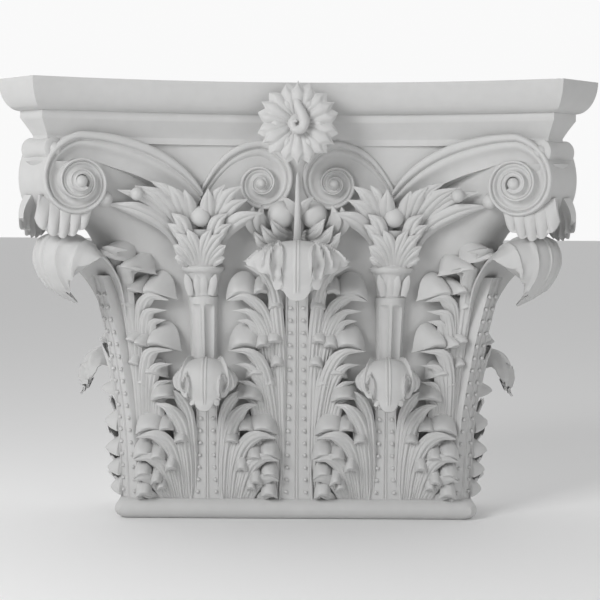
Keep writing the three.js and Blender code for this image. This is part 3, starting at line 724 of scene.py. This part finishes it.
def carve_centre_leaf(carving):
    place = on_front(0)
    carve_leaf_sides(carving, place, UPPER_FRONDS, UPPER_HOODS)
    stalk(carving, place, 246, (3, 15), half=11.5)
    leaf_head(carving, place, CENTRE_HEAD, [8, 24, 44, 54, 56, 54, 50, 50], WIDE_EDGE, WIDE_RIDGES,
              (0.36, 0.73), bow=0.3)


# The edge and the ridges of a corner leaf's plainer head, and what it has beside it.
CORNER_EDGE = np.array([
    [0, 1.0], [0.12, 0.99], [0.22, 0.95], [0.28, 0.88], [0.36, 0.9], [0.46, 0.88], [0.54, 0.82],
    [0.62, 0.83], [0.72, 0.8], [0.8, 0.74], [0.88, 0.74], [0.95, 0.7], [1.0, 0.64],
])
CORNER_RIDGES = [
    ([(0.045, 0.4), (0.045, 0.7), (0.04, 0.93)], 1.6, 1.0),
    ([(0.3, 0.4), (0.4, 0.55), (0.44, 0.7), (0.4, 0.86)], 2.6, 1.6),
    ([(0.56, 0.4), (0.72, 0.55), (0.76, 0.7), (0.7, 0.8)], 2.6, 1.6),
]
CORNER_HOODS = [(12, 36, 284, 259, 44), (27, 50, 270, 248, 36)]
CORNER_FRONDS = [
    ([(9, 190), (13, 236), (22, 262), (33, 272), (46, 272)], 9, 38),
    ([(12, 150), (17, 216), (26, 243), (38, 254), (52, 253)], 8, 32),
]


CORNER_SPREAD = 0.93
CORNER_HEAD = [(0, 190, 8), (0, 238, 18), (0, 268, 34), (0, 283, 56), (0, 279, 76), (0, 258, 88),
               (0, 236, 80), (0, 222, 58)]


def carve_corner_leaf(carving):
    carve_leaf_sides(carving, on_corner, UPPER_FRONDS, UPPER_HOODS, CORNER_SPREAD)
    carve_leaf_sides(carving, on_corner, CORNER_FRONDS, CORNER_HOODS)
    stalk(carving, on_corner, 246, (8, 30), half=9.5)
    leaf_head(carving, on_corner, CORNER_HEAD, [15, 29, 40, 44, 44, 42, 38, 30], CORNER_EDGE,
              CORNER_RIDGES, (0.6, 0.72), hollow=2.0)


# Scrolls

CORNER_SCROLL = {
    "line": [(-2, 330), (18, 366), (65, 386), (121, 385)],
    "underside": [(2, 312), (25, 326), (47, 337), (68, 345.5), (88, 351.5)],
    "centre": (121, 337),
    "quarter": 35.5,
    "shrink": 0.86,
    "lift": 0.16,
}
INNER_SCROLL = {
    "line": [(-2, 328), (10, 352), (25, 379), (58, 380)],
    "underside": [(2, 312), (12, 323.5), (22, 335), (33, 344.5), (43, 350)],
    "centre": (59.7, 337.4),
    "quarter": 31.5,
    "shrink": 0.81,
    "lift": 0.1,
}
SCROLL_QUARTERS = 10.5
LEAD_STEPS, QUARTER_STEPS = 36, 14


def spiral(scroll, quarters):
    """Points of a scroll's spiral after so many quarter turns from its top."""
    q = np.asarray(quarters, float)
    r = scroll["quarter"] / scroll["shrink"] * scroll["shrink"] ** q
    r = r * (1 + scroll["lift"] * np.clip(1 - q, 0, None) ** 2)
    angle = q * math.pi / 2
    centre = scroll["centre"]
    return stacked(centre[0] + r * np.sin(angle), centre[1] + r * np.cos(angle))


def scroll_edges(scroll):
    """The outer and the inner edge of a scroll's band, point for point."""
    t = np.linspace(0, 1, LEAD_STEPS, endpoint=False)[:, None]
    p0, p1, p2, p3 = (np.array(p, float) for p in scroll["line"])
    lead = (1 - t) ** 3 * p0 + 3 * t * (1 - t) ** 2 * p1 + 3 * t * t * (1 - t) * p2 + t**3 * p3
    lead += (spiral(scroll, 0) - p3) * t**3
    quarters = np.linspace(0, SCROLL_QUARTERS, int(SCROLL_QUARTERS * QUARTER_STEPS) + 1)
    outer = np.vstack([lead, spiral(scroll, quarters)])
    under = list(scroll["underside"]) + [tuple(spiral(scroll, q)) for q in (3.7, 4)]
    inner = np.vstack([smooth_line(under, t[:, 0]), spiral(scroll, quarters + 4)])
    turns = np.concatenate([np.zeros(LEAD_STEPS), quarters])
    return outer, inner, turns


# A band's section from its outer to its inner edge: place across and height as shares.
BAND = np.array([
    [0, 0], [0.015, 0.5], [0.04, 0.82], [0.08, 0.98], [0.14, 1.05], [0.2, 0.98], [0.25, 0.8],
    [0.275, 0.5], [0.29, 0.1], [0.32, 0.0], [0.36, 0.16], [0.42, 0.26], [0.48, 0.18], [0.54, -0.05],
    [0.6, -0.4], [0.68, -0.75], [0.78, -0.95], [0.88, -1], [0.95, -0.95], [1, -0.85],
])


def scroll_face(scroll, depth=4.5, swell=12.0):
    """Points across a scroll's band as u, z and out: a rim, a bead, a hollow, a swelling eye."""
    outer, inner, turns = scroll_edges(scroll)
    v = BAND[:, 0]
    grid = outer[:, None] * (1 - v[:, None]) + inner[:, None] * v[:, None]
    fade = np.clip(1 - turns / SCROLL_QUARTERS, 0.12, 1)[:, None]
    rise = swell * np.clip(turns / SCROLL_QUARTERS, 0, 1)[:, None] ** 1.4
    ahead = swell * np.clip((turns + 4) / SCROLL_QUARTERS, 0, 1)[:, None] ** 1.4
    coil = np.clip(turns, 0, 1)[:, None]
    out = rise + coil * (ahead - rise) * v**3 + depth * BAND[:, 1] * fade
    return np.concatenate([grid, out[..., None]], axis=-1)


VOLUTE_ROOT = (STEM_AXIS, float(front_depth(STEM_AXIS, 355.0)) + 2)
RIM_SETBACK = 46.5
RIM_SLOPE = 0.387
VOLUTE_TURN = math.atan2(
    DEPTH - RIM_SLOPE * RIM_SETBACK - VOLUTE_ROOT[1] - 4,
    WIDTH / 2 - RIM_SETBACK - VOLUTE_ROOT[0],
)


def on_volute(u, z, out):
    """Places a point on a volute's face, which turns out from the stem to the corner."""
    return (
        VOLUTE_ROOT[0] + u * math.cos(VOLUTE_TURN) - out * math.sin(VOLUTE_TURN),
        VOLUTE_ROOT[1] + u * math.sin(VOLUTE_TURN) + out * math.cos(VOLUTE_TURN),
        z,
    )


def at_point(place, point):
    return placed(place, np.array([[*point]]))[0]


BAND_STEPS, BAND_HOLLOW = 10, 2.5  # across the band between a volute's two faces
EYE_OUT, EYE_RADIUS = 9.0, 6.0


def carve_corner_volute(carving):
    """The two faces of a corner volute, with the hollow band between their rims."""
    front = placed(on_volute, scroll_face(CORNER_SCROLL))[:, ::-1]
    side = np.stack(mirror_side(*np.moveaxis(front, -1, 0)), axis=-1)[:, ::-1]
    share = np.linspace(0, 1, BAND_STEPS + 1)[1:-1, None]
    edge, other = front[:, -1], side[:, 0]
    hollow = np.sin(math.pi * share) ** 0.5 * BAND_HOLLOW
    centre = at_point(on_volute, (*CORNER_SCROLL["centre"], 0.0))
    band = edge[:, None] * (1 - share) + other[:, None] * share
    inward = stacked(0 * band[..., 0], 0 * band[..., 0], centre[2] - band[..., 2])
    inward /= np.maximum(np.linalg.norm(inward, axis=-1, keepdims=True), 20)
    band = band + inward * hollow
    carving.loft(np.concatenate([front, band, side], axis=1))
    eye = at_point(on_volute, (*CORNER_SCROLL["centre"], EYE_OUT))
    for spot in (eye, mirror_side(*eye)):
        ball(carving, spot, EYE_RADIUS)


HELIX_DEPTH = float(front_depth(0.0, 345.0)) + 4
HELIX_BACK = 26


def on_helix(u, z, out):
    return STEM_AXIS - u, HELIX_DEPTH + out + 0 * u, z


def carve_inner_scroll(carving):
    front = placed(on_helix, scroll_face(INNER_SCROLL, depth=4.2, swell=10.0))
    back = front[:, [-1, 0]].copy()
    back[..., 1] = HELIX_DEPTH - HELIX_BACK
    carving.loft(np.concatenate([front, back], axis=1))
    ball(carving, at_point(on_helix, (*INNER_SCROLL["centre"], 8.0)), 4.5)


# Stems, calyxes and husks

FLUTE_TOP, FLUTE_END = 208, 10  # height where a flute starts to round off, and over how much
FLUTE_PLACE, FLUTE_SPREAD = math.radians(27), math.radians(21)
FLUTE_DEPTH = 3.4
STEM_SIDES = 72
# Leaves of the cup on a stem: line from the stem's middle, half width, reach out of the bell.
CUP_LEAVES = [
    ([(6, 262), (12, 284), (18, 300), (27, 308)], 8, 25),
    ([(8, 262), (14, 280), (21, 291), (31, 298)], 7, 26),
    ([(1, 257), (3, 272), (7, 284), (12, 293)], 6, 29),
    ([(4, 257), (8, 270), (15, 281), (24, 289)], 7, 28),
    ([(8, 257), (13, 266), (20, 273), (26, 277)], 6, 26),
    ([(12, 257), (16, 261), (21, 264), (25, 264)], 5, 22),
]


def stem_centre(z):
    x = STEM_AXIS - (1 - z / ABACUS_BOTTOM) * 5
    return x, front_depth(x, z) + 2


def stem_rows():
    """A stem's heights and radii, with 1 to 0 where it is fluted and -1 where it is ribbed."""
    rows = [(z, 12.0 + (z - 120) * 0.029, 1.0) for z in np.linspace(120, FLUTE_TOP, 12)]
    for z in np.linspace(209, 218, 8):
        end = math.sqrt(max(0, 1 - ((z - FLUTE_TOP) / FLUTE_END) ** 2))
        rows.append((z, 14.55 + (z - FLUTE_TOP) * 0.03, end))
    rows += [(222, 15, 0), (225, 15, 0), (225.6, 13.5, 0), (226.4, 13.5, 0)]
    rows += [(z, 14 + 4.5 * ((z - 227) / 22) ** 1.5, -1) for z in np.linspace(227, 249, 14)]
    rows += [(250, 20, 0), (252, 21.5, 0), (254.5, 21.5, 0), (256, 20, 0), (257, 17, 0)]
    cup = (262, 272, 282, 292)
    return rows + [(z, 16 + 5.5 * math.sin((z - 257) / 40 * math.pi / 2), 0) for z in cup]


def carve_stem(carving):
    """A stem with its collar, the cup of leaves that it carries, and the ball in the cup."""
    angle = round_once(STEM_SIDES)
    around = angle - math.pi / 2
    rings = []
    for z, radius, flute in stem_rows():
        if flute > 0:
            near = np.minimum(np.abs(around - FLUTE_PLACE), np.abs(around + FLUTE_PLACE))
            groove = np.sqrt(np.clip(1 - (near / FLUTE_SPREAD) ** 2, 0, 1))
            radius = radius - FLUTE_DEPTH * flute * groove
        elif flute < 0:
            radius = radius + 1.2 * np.abs(np.cos(around * 2.5)) ** 0.6 - 1.0
        rings.append(level_ring(*stem_centre(z), z, radius, angle))
    carving.loft(rings)
    place = on_front(STEM_AXIS)
    for side in (1, -1):
        for line, half, out in CUP_LEAVES:
            frond(carving, place, side, line, half, out, flutes=2, tip=1, foot=17)
        for k in range(2):
            spine = [(side * (2 + 8 * k), 227, 15), (side * (3 + 9 * k), 238, 18 - 2 * k),
                     (side * (4 + 11 * k), 248, 19 - 3 * k)]
            blade(carving, place, spine, [2.5, 4, 2], (14, 8), crown=2, flutes=1, flute=1, thick=2)
    x, d = stem_centre(300.0)
    ball(carving, (x, d + 16, 305), 10.5)


HUSK_FOOT = 258
# Tips of the ragged leaf that opens out of a stem: across from the stem and up.
HUSK_TIPS = [
    (90, 317), (78, 330), (61, 334), (46, 339), (30, 335), (14, 331),
    (-9, 332), (-25, 336), (-42, 335), (-47, 322), (-62, 309),
]


def carve_husks(carving):
    """The ragged leaf under the scrolls, with two balls beside it."""
    place = on_front(STEM_AXIS)
    for i, (a, z) in enumerate(HUSK_TIPS):
        foot = 8 + abs(a) * 0.06
        run, rise = abs(a) - foot, z - HUSK_FOOT
        line = [(foot + run * across, HUSK_FOOT + rise * up)
                for across, up in ((0, 0), (0.2, 0.55), (0.58, 0.88), (1, 1))]
        frond(carving, place, 1 if a > 0 else -1, line, 8.5, 27 - i % 2 * 2, flutes=2, tip=1)
    for a, z, radius in ((90, 321, 8.0), (59, 326, 6.5)):
        ball(carving, at_point(place, (a, z, 29.0)), radius)


APRON_START, APRON_LENGTH = 106, 52
APRON_TOP, APRON_BOTTOM = 324, 302
APRON_SAG = 15
RUFFLES = 5


def carve_volute_apron(carving):
    """The ruffled leaf that hangs under a corner volute, on both of its faces."""
    share, t = share_grid(90, 16, start=0)
    ruffle = np.abs(np.sin(RUFFLES * math.pi * share)) ** 0.7
    u = APRON_START + APRON_LENGTH * share + 5 * t
    bottom = APRON_BOTTOM - APRON_SAG * np.sin(math.pi * share) ** 0.8 - 4 * ruffle
    z = APRON_TOP + (bottom - APRON_TOP) * t
    out = -8 + 9 * np.sin(math.pi * 0.75 * t) + 3.5 * ruffle * t**0.7
    shape = np.sin(math.pi * np.clip(share, 0.01, 0.99)) ** 0.25
    front = stacked(u, z, out * shape)
    back = stacked(u, z, out * shape - 8 + 3 * t)
    for far in (False, True):
        def place(u, z, out):
            point = on_volute(u, z, out)
            return mirror_side(*point) if far else point

        way = -1 if far else 1
        add_wafer(carving, place, front[:, ::way], back[:, ::way])


SWELL_HALF, SWELL_OUT = 72, 38
SWELL_FOOT, SWELL_TOP, SWELL_RISE = 212, 356, 110


def carve_bell_corner(carving):
    """The bell's corner, which swells out towards the underside of the volute."""
    a, z = np.meshgrid(
        np.linspace(-SWELL_HALF, SWELL_HALF, 49), np.linspace(SWELL_FOOT, SWELL_TOP, 29))
    swell = np.clip((z - SWELL_FOOT) / SWELL_RISE, 0, 1)
    h = SWELL_OUT * swell**1.6 * (1 - (np.abs(a) / SWELL_HALF) ** 2.1) - 0.6
    add_wafer(carving, on_corner, stacked(a, z, h), stacked(a, z, np.minimum(h - 6, -6)))


ROLL_SETBACK, ROLL_DROP = 44, 7
ROLL_END, ROLL_BALL = 19.5, 6.5
# The roll's radii along its length.
ROLL = [(-21, 6), (-20.5, 9.5), (-19, 11.5), (-8, 10.5), (0, 10), (8, 10.5), (19, 11.5),
        (20.5, 9.5), (21, 6)]


def carve_corner_roll(carving):
    """The small roll under the abacus's cut corner, with a ball at each end."""
    reach = (WIDTH / 2 + DEPTH - CORNER_CUT - ROLL_SETBACK) / 2
    middle = np.array([reach + DIAGONAL / 2, reach - DIAGONAL / 2])
    height = ABACUS_BOTTOM - ROLL_DROP
    turns = round_once(40)
    rings = []
    for along, radius in ROLL:
        x = middle[0] + (along + radius * np.cos(turns)) / math.sqrt(2)
        d = middle[1] + (-along + radius * np.cos(turns)) / math.sqrt(2)
        rings.append(np.column_stack([x, d, height + radius * np.sin(turns)]))
    carving.loft(rings)
    for end in (-1, 1):
        x, d = middle + np.array([end, -end]) * ROLL_END / math.sqrt(2)
        ball(carving, (x, d, height), ROLL_BALL)


# Flower and middle calyx

FLOWER_Z, FLOWER_OUT, PETALS = 394.0, 38, 6
# The flower's core: distance from the abacus's front, radius.
FLOWER_CORE = [(-38, 22), (36, 24), (38, 22), (39, 18)]
# The curl on the flower: right of its middle, out of the abacus and up from its middle.
FLOWER_CURL = [
    (-1, 47, 27), (0, 50, 17), (4, 52, 8), (6, 53, 0), (3, 53.5, -6), (-3, 53.5, -6),
    (-5, 53.5, 0), (-1, 54.5, 2),
]


def carve_flower(carving):
    """Three-pointed petals with buds between them, and a curl over the middle."""
    def facing(turn):
        def place(a, r, h):
            x = a * math.cos(turn) + r * math.sin(turn)
            z = FLOWER_Z + r * math.cos(turn) - a * math.sin(turn)
            return x, ABACUS_FRONT + FLOWER_OUT + h, z

        return place

    for i in range(PETALS):
        turn = 2 * math.pi * i / PETALS
        blade(carving, facing(turn), [(0, 4, 2), (0, 16, 7), (0, 28, 8), (0, 39.5, 4)],
              [5, 12, 18, 15], (40, 60), crown=2, flutes=3, flute=3.2, fingers=3, notch=0.22,
              round_off=0.16, thick=5, keel=6)
        blade(carving, facing(turn + math.pi / PETALS), [(0, 12, 7), (0, 21, 10), (0, 30, 5)],
              [2.5, 3.4, 1.5], (20, 12), crown=2.5, thick=4, keel=6)
    angle = round_once(48)
    carving.loft([
        np.column_stack([
            radius * np.cos(angle), np.full(len(angle), ABACUS_FRONT + out),
            FLOWER_Z + radius * np.sin(angle),
        ])
        for out, radius in FLOWER_CORE
    ])
    ball(carving, (0, ABACUS_FRONT + 40, FLOWER_Z - 1), 11.5)
    t = np.linspace(0, 1, 60)
    line = smooth_line([(x, ABACUS_FRONT + d, FLOWER_Z + z) for x, d, z in FLOWER_CURL], t)
    carving.loft(cord_rings(line, np.interp(t, [0, 0.15, 0.4, 0.7, 1], [2, 4, 5.4, 4.4, 1.6]), 14))


# Ragged leaves of the calyx behind the middle leaf's head: line and half width.
CALYX_LEAVES = [
    ([(5, 288), (12, 288), (20, 293), (27, 303)], 7),
    ([(5, 282), (16, 280), (28, 286), (36, 297)], 8),
    ([(7, 277), (22, 274), (36, 281), (43, 290)], 8),
    ([(20, 286), (32, 292), (37, 303), (34, 317)], 8),
    ([(28, 283), (40, 292), (45, 303), (43, 315)], 8),
    ([(3, 286), (3, 302), (7, 317), (16, 325)], 5),
]
RIB_LINE = [(0, 280, 22), (0, 300, 26), (0, 322, 23), (0, 348, 10)]


def carve_middle_calyx(carving):
    """Two flattened balls among ragged leaves, with the rib that runs up from them."""
    place = on_front(0)
    for side in (1, -1):
        ball(carving, at_point(place, (side * 16.0, 307, 12)), 13.5, 0.75)
        for line, half in CALYX_LEAVES:
            frond(carving, place, side, line, half, 25, flutes=2, tip=1)
    blade(carving, place, RIB_LINE, [4, 3, 2.4, 1.5], (30, 12), crown=3, thick=5, keel=12,
          round_off=0.05)


# Pearls

PEARL_DEFAULTS = {"Pearl radius": 1.0, "Size spread": 0.1}
PEARL_START, PEARL_SHARE, PEARL_RISE = 8, 0.55, 0.6


def pearl_tree(material):
    """Geometry nodes that set a pearl on every point, each a little smaller than the radius."""
    tree = bpy.data.node_groups.new("Pearl rows", "GeometryNodeTree")
    for name, direction, kind in (
        ("Points", "INPUT", "Geometry"), ("Pearl radius", "INPUT", "Float"),
        ("Size spread", "INPUT", "Float"), ("Pearls", "OUTPUT", "Geometry"),
    ):
        socket = tree.interface.new_socket(
            name=name, in_out=direction, socket_type="NodeSocket" + kind)
        if name in PEARL_DEFAULTS:
            socket.default_value = PEARL_DEFAULTS[name]
    entry = tree.nodes.new("NodeGroupInput").outputs
    pearl = feed_node(
        tree, "GeometryNodeMeshIcoSphere", Radius=entry["Pearl radius"], Subdivisions=2)
    spread = feed_node(tree, "FunctionNodeRandomValue", Seed=7)
    feed(tree, spread.inputs[2], maths(tree, "SUBTRACT", 1.0, entry["Size spread"]))
    feed(tree, spread.inputs[3], 1.0)
    made = feed_node(
        tree, "GeometryNodeInstanceOnPoints", Points=entry["Points"],
        Instance=pearl.outputs["Mesh"], Scale=spread.outputs[1])
    for kind in ("RealizeInstances", "SetShadeSmooth", "SetMaterial"):
        made = feed_node(tree, "GeometryNode" + kind, Geometry=made.outputs[0])
    feed_node(tree, made, Material=material)
    feed_node(tree, "NodeGroupOutput", Pearls=made.outputs[0])
    return tree


def pearl_points(place, top, lean, half, step):
    """Middles of two rows of pearls up a leaf's stalk, sunk a little into it."""
    z = np.arange(LEAF_FOOT + PEARL_START, top, step)
    wide, h = stalk_form(z, top, lean, half)
    return np.vstack([
        placed(place, stacked(side * (PEARL_SHARE * wide), z, h + PEARL_RISE))
        for side in (1, -1)
    ])


# Finish


def primer_material(colours):
    """Matt off-white primer on moulded foam: faint mottling, fine pores and soft dips."""
    material = bpy.data.materials.new("primed moulding")
    material.use_nodes = True
    tree = material.node_tree
    where = tree.nodes.new("ShaderNodeTexCoord").outputs["Object"]

    def noise(scale, detail, roughness=0.5):
        return feed_node(tree, "ShaderNodeTexNoise", Vector=where, Scale=scale, Detail=detail,
                         Roughness=roughness).outputs["Fac"]

    def mix(first, share, second, other_share):
        return maths(tree, "ADD", maths(tree, "MULTIPLY", first, share),
                     maths(tree, "MULTIPLY", second, other_share))

    broad, fine, pores = noise(9, 3), noise(90, 4), noise(900, 2, 0.6)
    ramp = feed_node(tree, "ShaderNodeValToRGB", Fac=mix(broad, 0.6, fine, 0.4))
    stops = zip(ramp.color_ramp.elements, (0.3, 0.7), (colours.shade, colours.primer))
    for stop, position, colour in stops:
        stop.position = position
        stop.color = (*colour, 1)
    bump = feed_node(tree, "ShaderNodeBump", Strength=0.12, Distance=0.0006,
                     Height=mix(pores, 0.35, fine, 0.65))
    feed_node(tree, tree.nodes["Principled BSDF"], Base_Color=ramp.outputs["Color"],
              Roughness=maths(tree, "ADD", maths(tree, "MULTIPLY", fine, 0.12), 0.5),
              Specular_IOR_Level=0.35, Normal=bump.outputs["Normal"])
    return material


def finish_material():
    return bpy.data.materials.get("primed moulding") or primer_material(
        bpy.context.scene.capital_colours
    )


def belong(made):
    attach(made, BODY)
    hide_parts(NODE)


def settle(carving, name):
    """Makes the gathered shells one named piece of the capital."""
    made = carving.mesh_object(name)
    made.data.materials.append(finish_material())
    belong(made)


class CapitalSizes(bpy.types.PropertyGroup):
    pearl_radius: bpy.props.FloatProperty(
        name="Pearl radius", description="Radius of the pearls on the leaf stalks",
        default=2.2 * MM, unit="LENGTH", subtype="DISTANCE", precision=4)
    pearl_step: bpy.props.FloatProperty(
        name="Pearl step", description="Distance from one pearl to the next",
        default=12.5 * MM, unit="LENGTH", subtype="DISTANCE", precision=4)


class CapitalColours(bpy.types.PropertyGroup):
    primer: bpy.props.FloatVectorProperty(
        name="Primer", description="Colour of the primer", subtype="COLOR", size=3,
        min=0, max=1, default=(0.6, 0.6, 0.597))
    shade: bpy.props.FloatVectorProperty(
        name="Shade", description="Colour of the primer's darker mottling", subtype="COLOR",
        size=3, min=0, max=1, default=(0.55, 0.55, 0.546))
    floor: bpy.props.FloatVectorProperty(
        name="Floor", description="Colour of the studio floor", subtype="COLOR", size=3,
        min=0, max=1, default=(0.9, 0.9, 0.9))


class CarvingStep:
    """Makes a step's pieces. Each is given as its name, whether its left half mirrors its right
    half, and the functions that carve it."""

    pieces = ()

    def execute(self, context):
        for name, mirrored, carvers in self.pieces:
            carving = Carving()
            for carve in carvers:
                carve(carving)
            settle(carving.mirrored() if mirrored else carving, name)
        return {"FINISHED"}


class CAPITAL_OT_body(CarvingStep, bpy.types.Operator):
    """Make the neck ring, the bell and the moulded abacus"""

    bl_idname = "capital.body"
    bl_label = "Ring, bell and abacus"
    pieces = (("ring_bell_and_abacus", False, (carve_body,)),)


class CAPITAL_OT_lower_leaves(CarvingStep, bpy.types.Operator):
    """Carve the lower row of acanthus leaves, with the half leaves at the wall"""

    bl_idname = "capital.lower_leaves"
    bl_label = "Lower leaves"
    pieces = (
        ("lower_leaves", True, (lambda carving: carve_lower_leaf(carving, on_front(LEAF_AXIS)),)),
        ("side_leaves", True, (lambda carving: carve_lower_leaf(carving, on_side),)),
    )


class CAPITAL_OT_upper_leaves(CarvingStep, bpy.types.Operator):
    """Carve the middle and the corner leaves of the upper row"""

    bl_idname = "capital.upper_leaves"
    bl_label = "Upper leaves"
    pieces = (
        ("middle_leaf", False, (carve_centre_leaf,)),
        ("corner_leaves", True, (carve_corner_leaf,)),
    )


class CAPITAL_OT_scrolls(CarvingStep, bpy.types.Operator):
    """Carve the corner volutes, the inner scrolls and the small corner rolls"""

    bl_idname = "capital.scrolls"
    bl_label = "Scrolls"
    pieces = (
        ("corner_volutes", True, (
            carve_corner_volute, carve_volute_apron, carve_bell_corner, carve_corner_roll)),
        ("inner_scrolls", True, (carve_inner_scroll,)),
    )


class CAPITAL_OT_stems(CarvingStep, bpy.types.Operator):
    """Carve the fluted stems, their cups of leaves and the husks under the scrolls"""

    bl_idname = "capital.stems"
    bl_label = "Stems and husks"
    pieces = (("stems_and_husks", True, (carve_stem, carve_husks)),)


class CAPITAL_OT_flower(CarvingStep, bpy.types.Operator):
    """Carve the abacus flower and the calyx below it"""

    bl_idname = "capital.flower"
    bl_label = "Flower"
    pieces = (("flower", False, (carve_flower, carve_middle_calyx)),)


class CAPITAL_OT_pearls(bpy.types.Operator):
    """Set rows of pearls on the stalks of the leaves"""

    bl_idname = "capital.pearls"
    bl_label = "Pearls"

    def execute(self, context):
        sizes = context.scene.capital_sizes
        step = sizes.pearl_step / MM
        right = np.vstack([
            pearl_points(on_front(LEAF_AXIS), 118, (3, 8), 11.0, step),
            pearl_points(on_corner, 236, (8, 30), 9.5, step),
        ])
        points = np.vstack([
            right, right * (-1, 1, 1), pearl_points(on_front(0), 236, (3, 15), 11.5, step)
        ])
        mesh = bpy.data.meshes.new("pearl places")
        mesh.from_pydata(to_world(points).tolist(), [], [])
        places = add_object("pearl places", mesh)
        tree = pearl_tree(finish_material())
        rows_modifier = places.modifiers.new("Pearl rows", "NODES")
        rows_modifier.node_group = tree
        for item in tree.interface.items_tree:
            if item.name == "Pearl radius":
                rows_modifier[item.identifier] = sizes.pearl_radius
        evaluated = places.evaluated_get(context.evaluated_depsgraph_get())
        beads = bpy.data.meshes.new_from_object(evaluated)
        beads.name = "pearls"
        bpy.data.objects.remove(places)
        belong(add_object("pearls", beads))
        return {"FINISHED"}


# Studio

VIEW_DISTANCE = 1.5  # metres from the lens to the plane of the leaf faces
LEAF_FACES = 104.0  # that plane's distance from the wall
EYE_HEIGHT = 0.297
PICTURE_WIDTH = 0.6  # metres across the picture in that plane
AIM_DROP = 0.075
AXIS_SHIFT = 0.003
CAMERA_ROLL = math.radians(0.35)
SENSOR_WIDTH = 36
FLOOR_REACH = 30.0
# Lamps: name, place, size and power.
LAMPS = (("key", (-1.15, -1.4, 1.05), 0.8, 21), ("fill", (1.0, -1.7, 0.6), 1.0, 6))
LAMP_AIM = 0.55  # share of the capital's height that the lamps aim at


def studio_world():
    """Dim light from all round, with a bright screen behind the capital."""
    world = bpy.data.worlds.new("studio")
    world.use_nodes = True
    tree = world.node_tree
    way = tree.nodes.new("ShaderNodeTexCoord").outputs["Generated"]
    axes = feed_node(tree, "ShaderNodeSeparateXYZ", Vector=way)
    screen = feed_node(tree, "ShaderNodeMapRange", Value=axes.outputs["Y"], From_Min=-0.5,
                       From_Max=0.6, To_Min=0.14, To_Max=0.95)
    feed_node(tree, tree.nodes["Background"], Color=(1, 1, 1, 1),
              Strength=screen.outputs["Result"])
    return world


class CAPITAL_OT_stage(bpy.types.Operator):
    """Set the floor, the soft lights and the camera"""

    bl_idname = "capital.stage"
    bl_label = "Studio"

    def execute(self, context):
        scene = context.scene
        floor_mesh = bpy.data.meshes.new("floor")
        corners = [(x * FLOOR_REACH, y * FLOOR_REACH, 0)
                   for x, y in ((-1, -1), (1, -1), (1, 1), (-1, 1))]
        floor_mesh.from_pydata(corners, [], [(0, 1, 2, 3)])
        floor = add_object("floor", floor_mesh)
        paint = bpy.data.materials.new("studio floor")
        paint.use_nodes = True
        feed_node(paint.node_tree, paint.node_tree.nodes["Principled BSDF"],
                  Base_Color=(*scene.capital_colours.floor, 1), Roughness=0.9)
        floor_mesh.materials.append(paint)
        plane_y = WALL_Y * MM - LEAF_FACES * MM
        camera_data = bpy.data.cameras.new("camera")
        camera_data.sensor_width = SENSOR_WIDTH
        camera_data.lens = SENSOR_WIDTH * VIEW_DISTANCE / PICTURE_WIDTH
        camera = add_object("camera", camera_data)
        eye = Vector((AXIS_SHIFT, plane_y - VIEW_DISTANCE, EYE_HEIGHT))
        aim = Vector((AXIS_SHIFT, plane_y, EYE_HEIGHT - AIM_DROP))
        camera.location = eye
        turn = (aim - eye).to_track_quat("-Z", "Y").to_matrix()
        camera.rotation_euler = turn.to_euler()
        camera.rotation_euler.rotate_axis("Z", CAMERA_ROLL)
        scene.camera = camera
        scene.world = studio_world()
        for name, spot, size, power in LAMPS:
            data = bpy.data.lights.new(name, "AREA")
            data.size = size
            data.energy = power
            lamp = add_object(name, data)
            lamp.location = spot
            way = Vector((0, 0, HEIGHT * MM * LAMP_AIM)) - Vector(spot)
            lamp.rotation_euler = way.to_track_quat("-Z", "Y").to_euler()
        scene.view_settings.view_transform = "Standard"
        return {"FINISHED"}


class CAPITAL_PT_panel(bpy.types.Panel):
    """Sizes, colours and steps of the capital"""

    bl_idname = "CAPITAL_PT_panel"
    bl_label = "Corinthian capital"
    bl_space_type = "VIEW_3D"
    bl_region_type = "UI"
    bl_category = "Capital"

    def draw(self, context):
        column = self.layout.column()
        for group in (context.scene.capital_sizes, context.scene.capital_colours):
            for name in group.__annotations__:
                column.prop(group, name)
        for step in STEPS:
            column.operator(step.bl_idname)


STEPS = (
    CAPITAL_OT_body,
    CAPITAL_OT_lower_leaves,
    CAPITAL_OT_upper_leaves,
    CAPITAL_OT_scrolls,
    CAPITAL_OT_stems,
    CAPITAL_OT_flower,
    CAPITAL_OT_pearls,
    CAPITAL_OT_stage,
)
CLASSES = (CapitalSizes, CapitalColours, *STEPS, CAPITAL_PT_panel)


def register():
    for item in CLASSES:
        bpy.utils.register_class(item)
    bpy.types.Scene.capital_sizes = bpy.props.PointerProperty(type=CapitalSizes)
    bpy.types.Scene.capital_colours = bpy.props.PointerProperty(type=CapitalColours)


def unregister():
    del bpy.types.Scene.capital_colours
    del bpy.types.Scene.capital_sizes
    for item in reversed(CLASSES):
        bpy.utils.unregister_class(item)


def main():
    register()
    for step in STEPS:
        group, name = step.bl_idname.split(".")
        getattr(getattr(bpy.ops, group), name)()


if __name__ == "__main__":
    main()
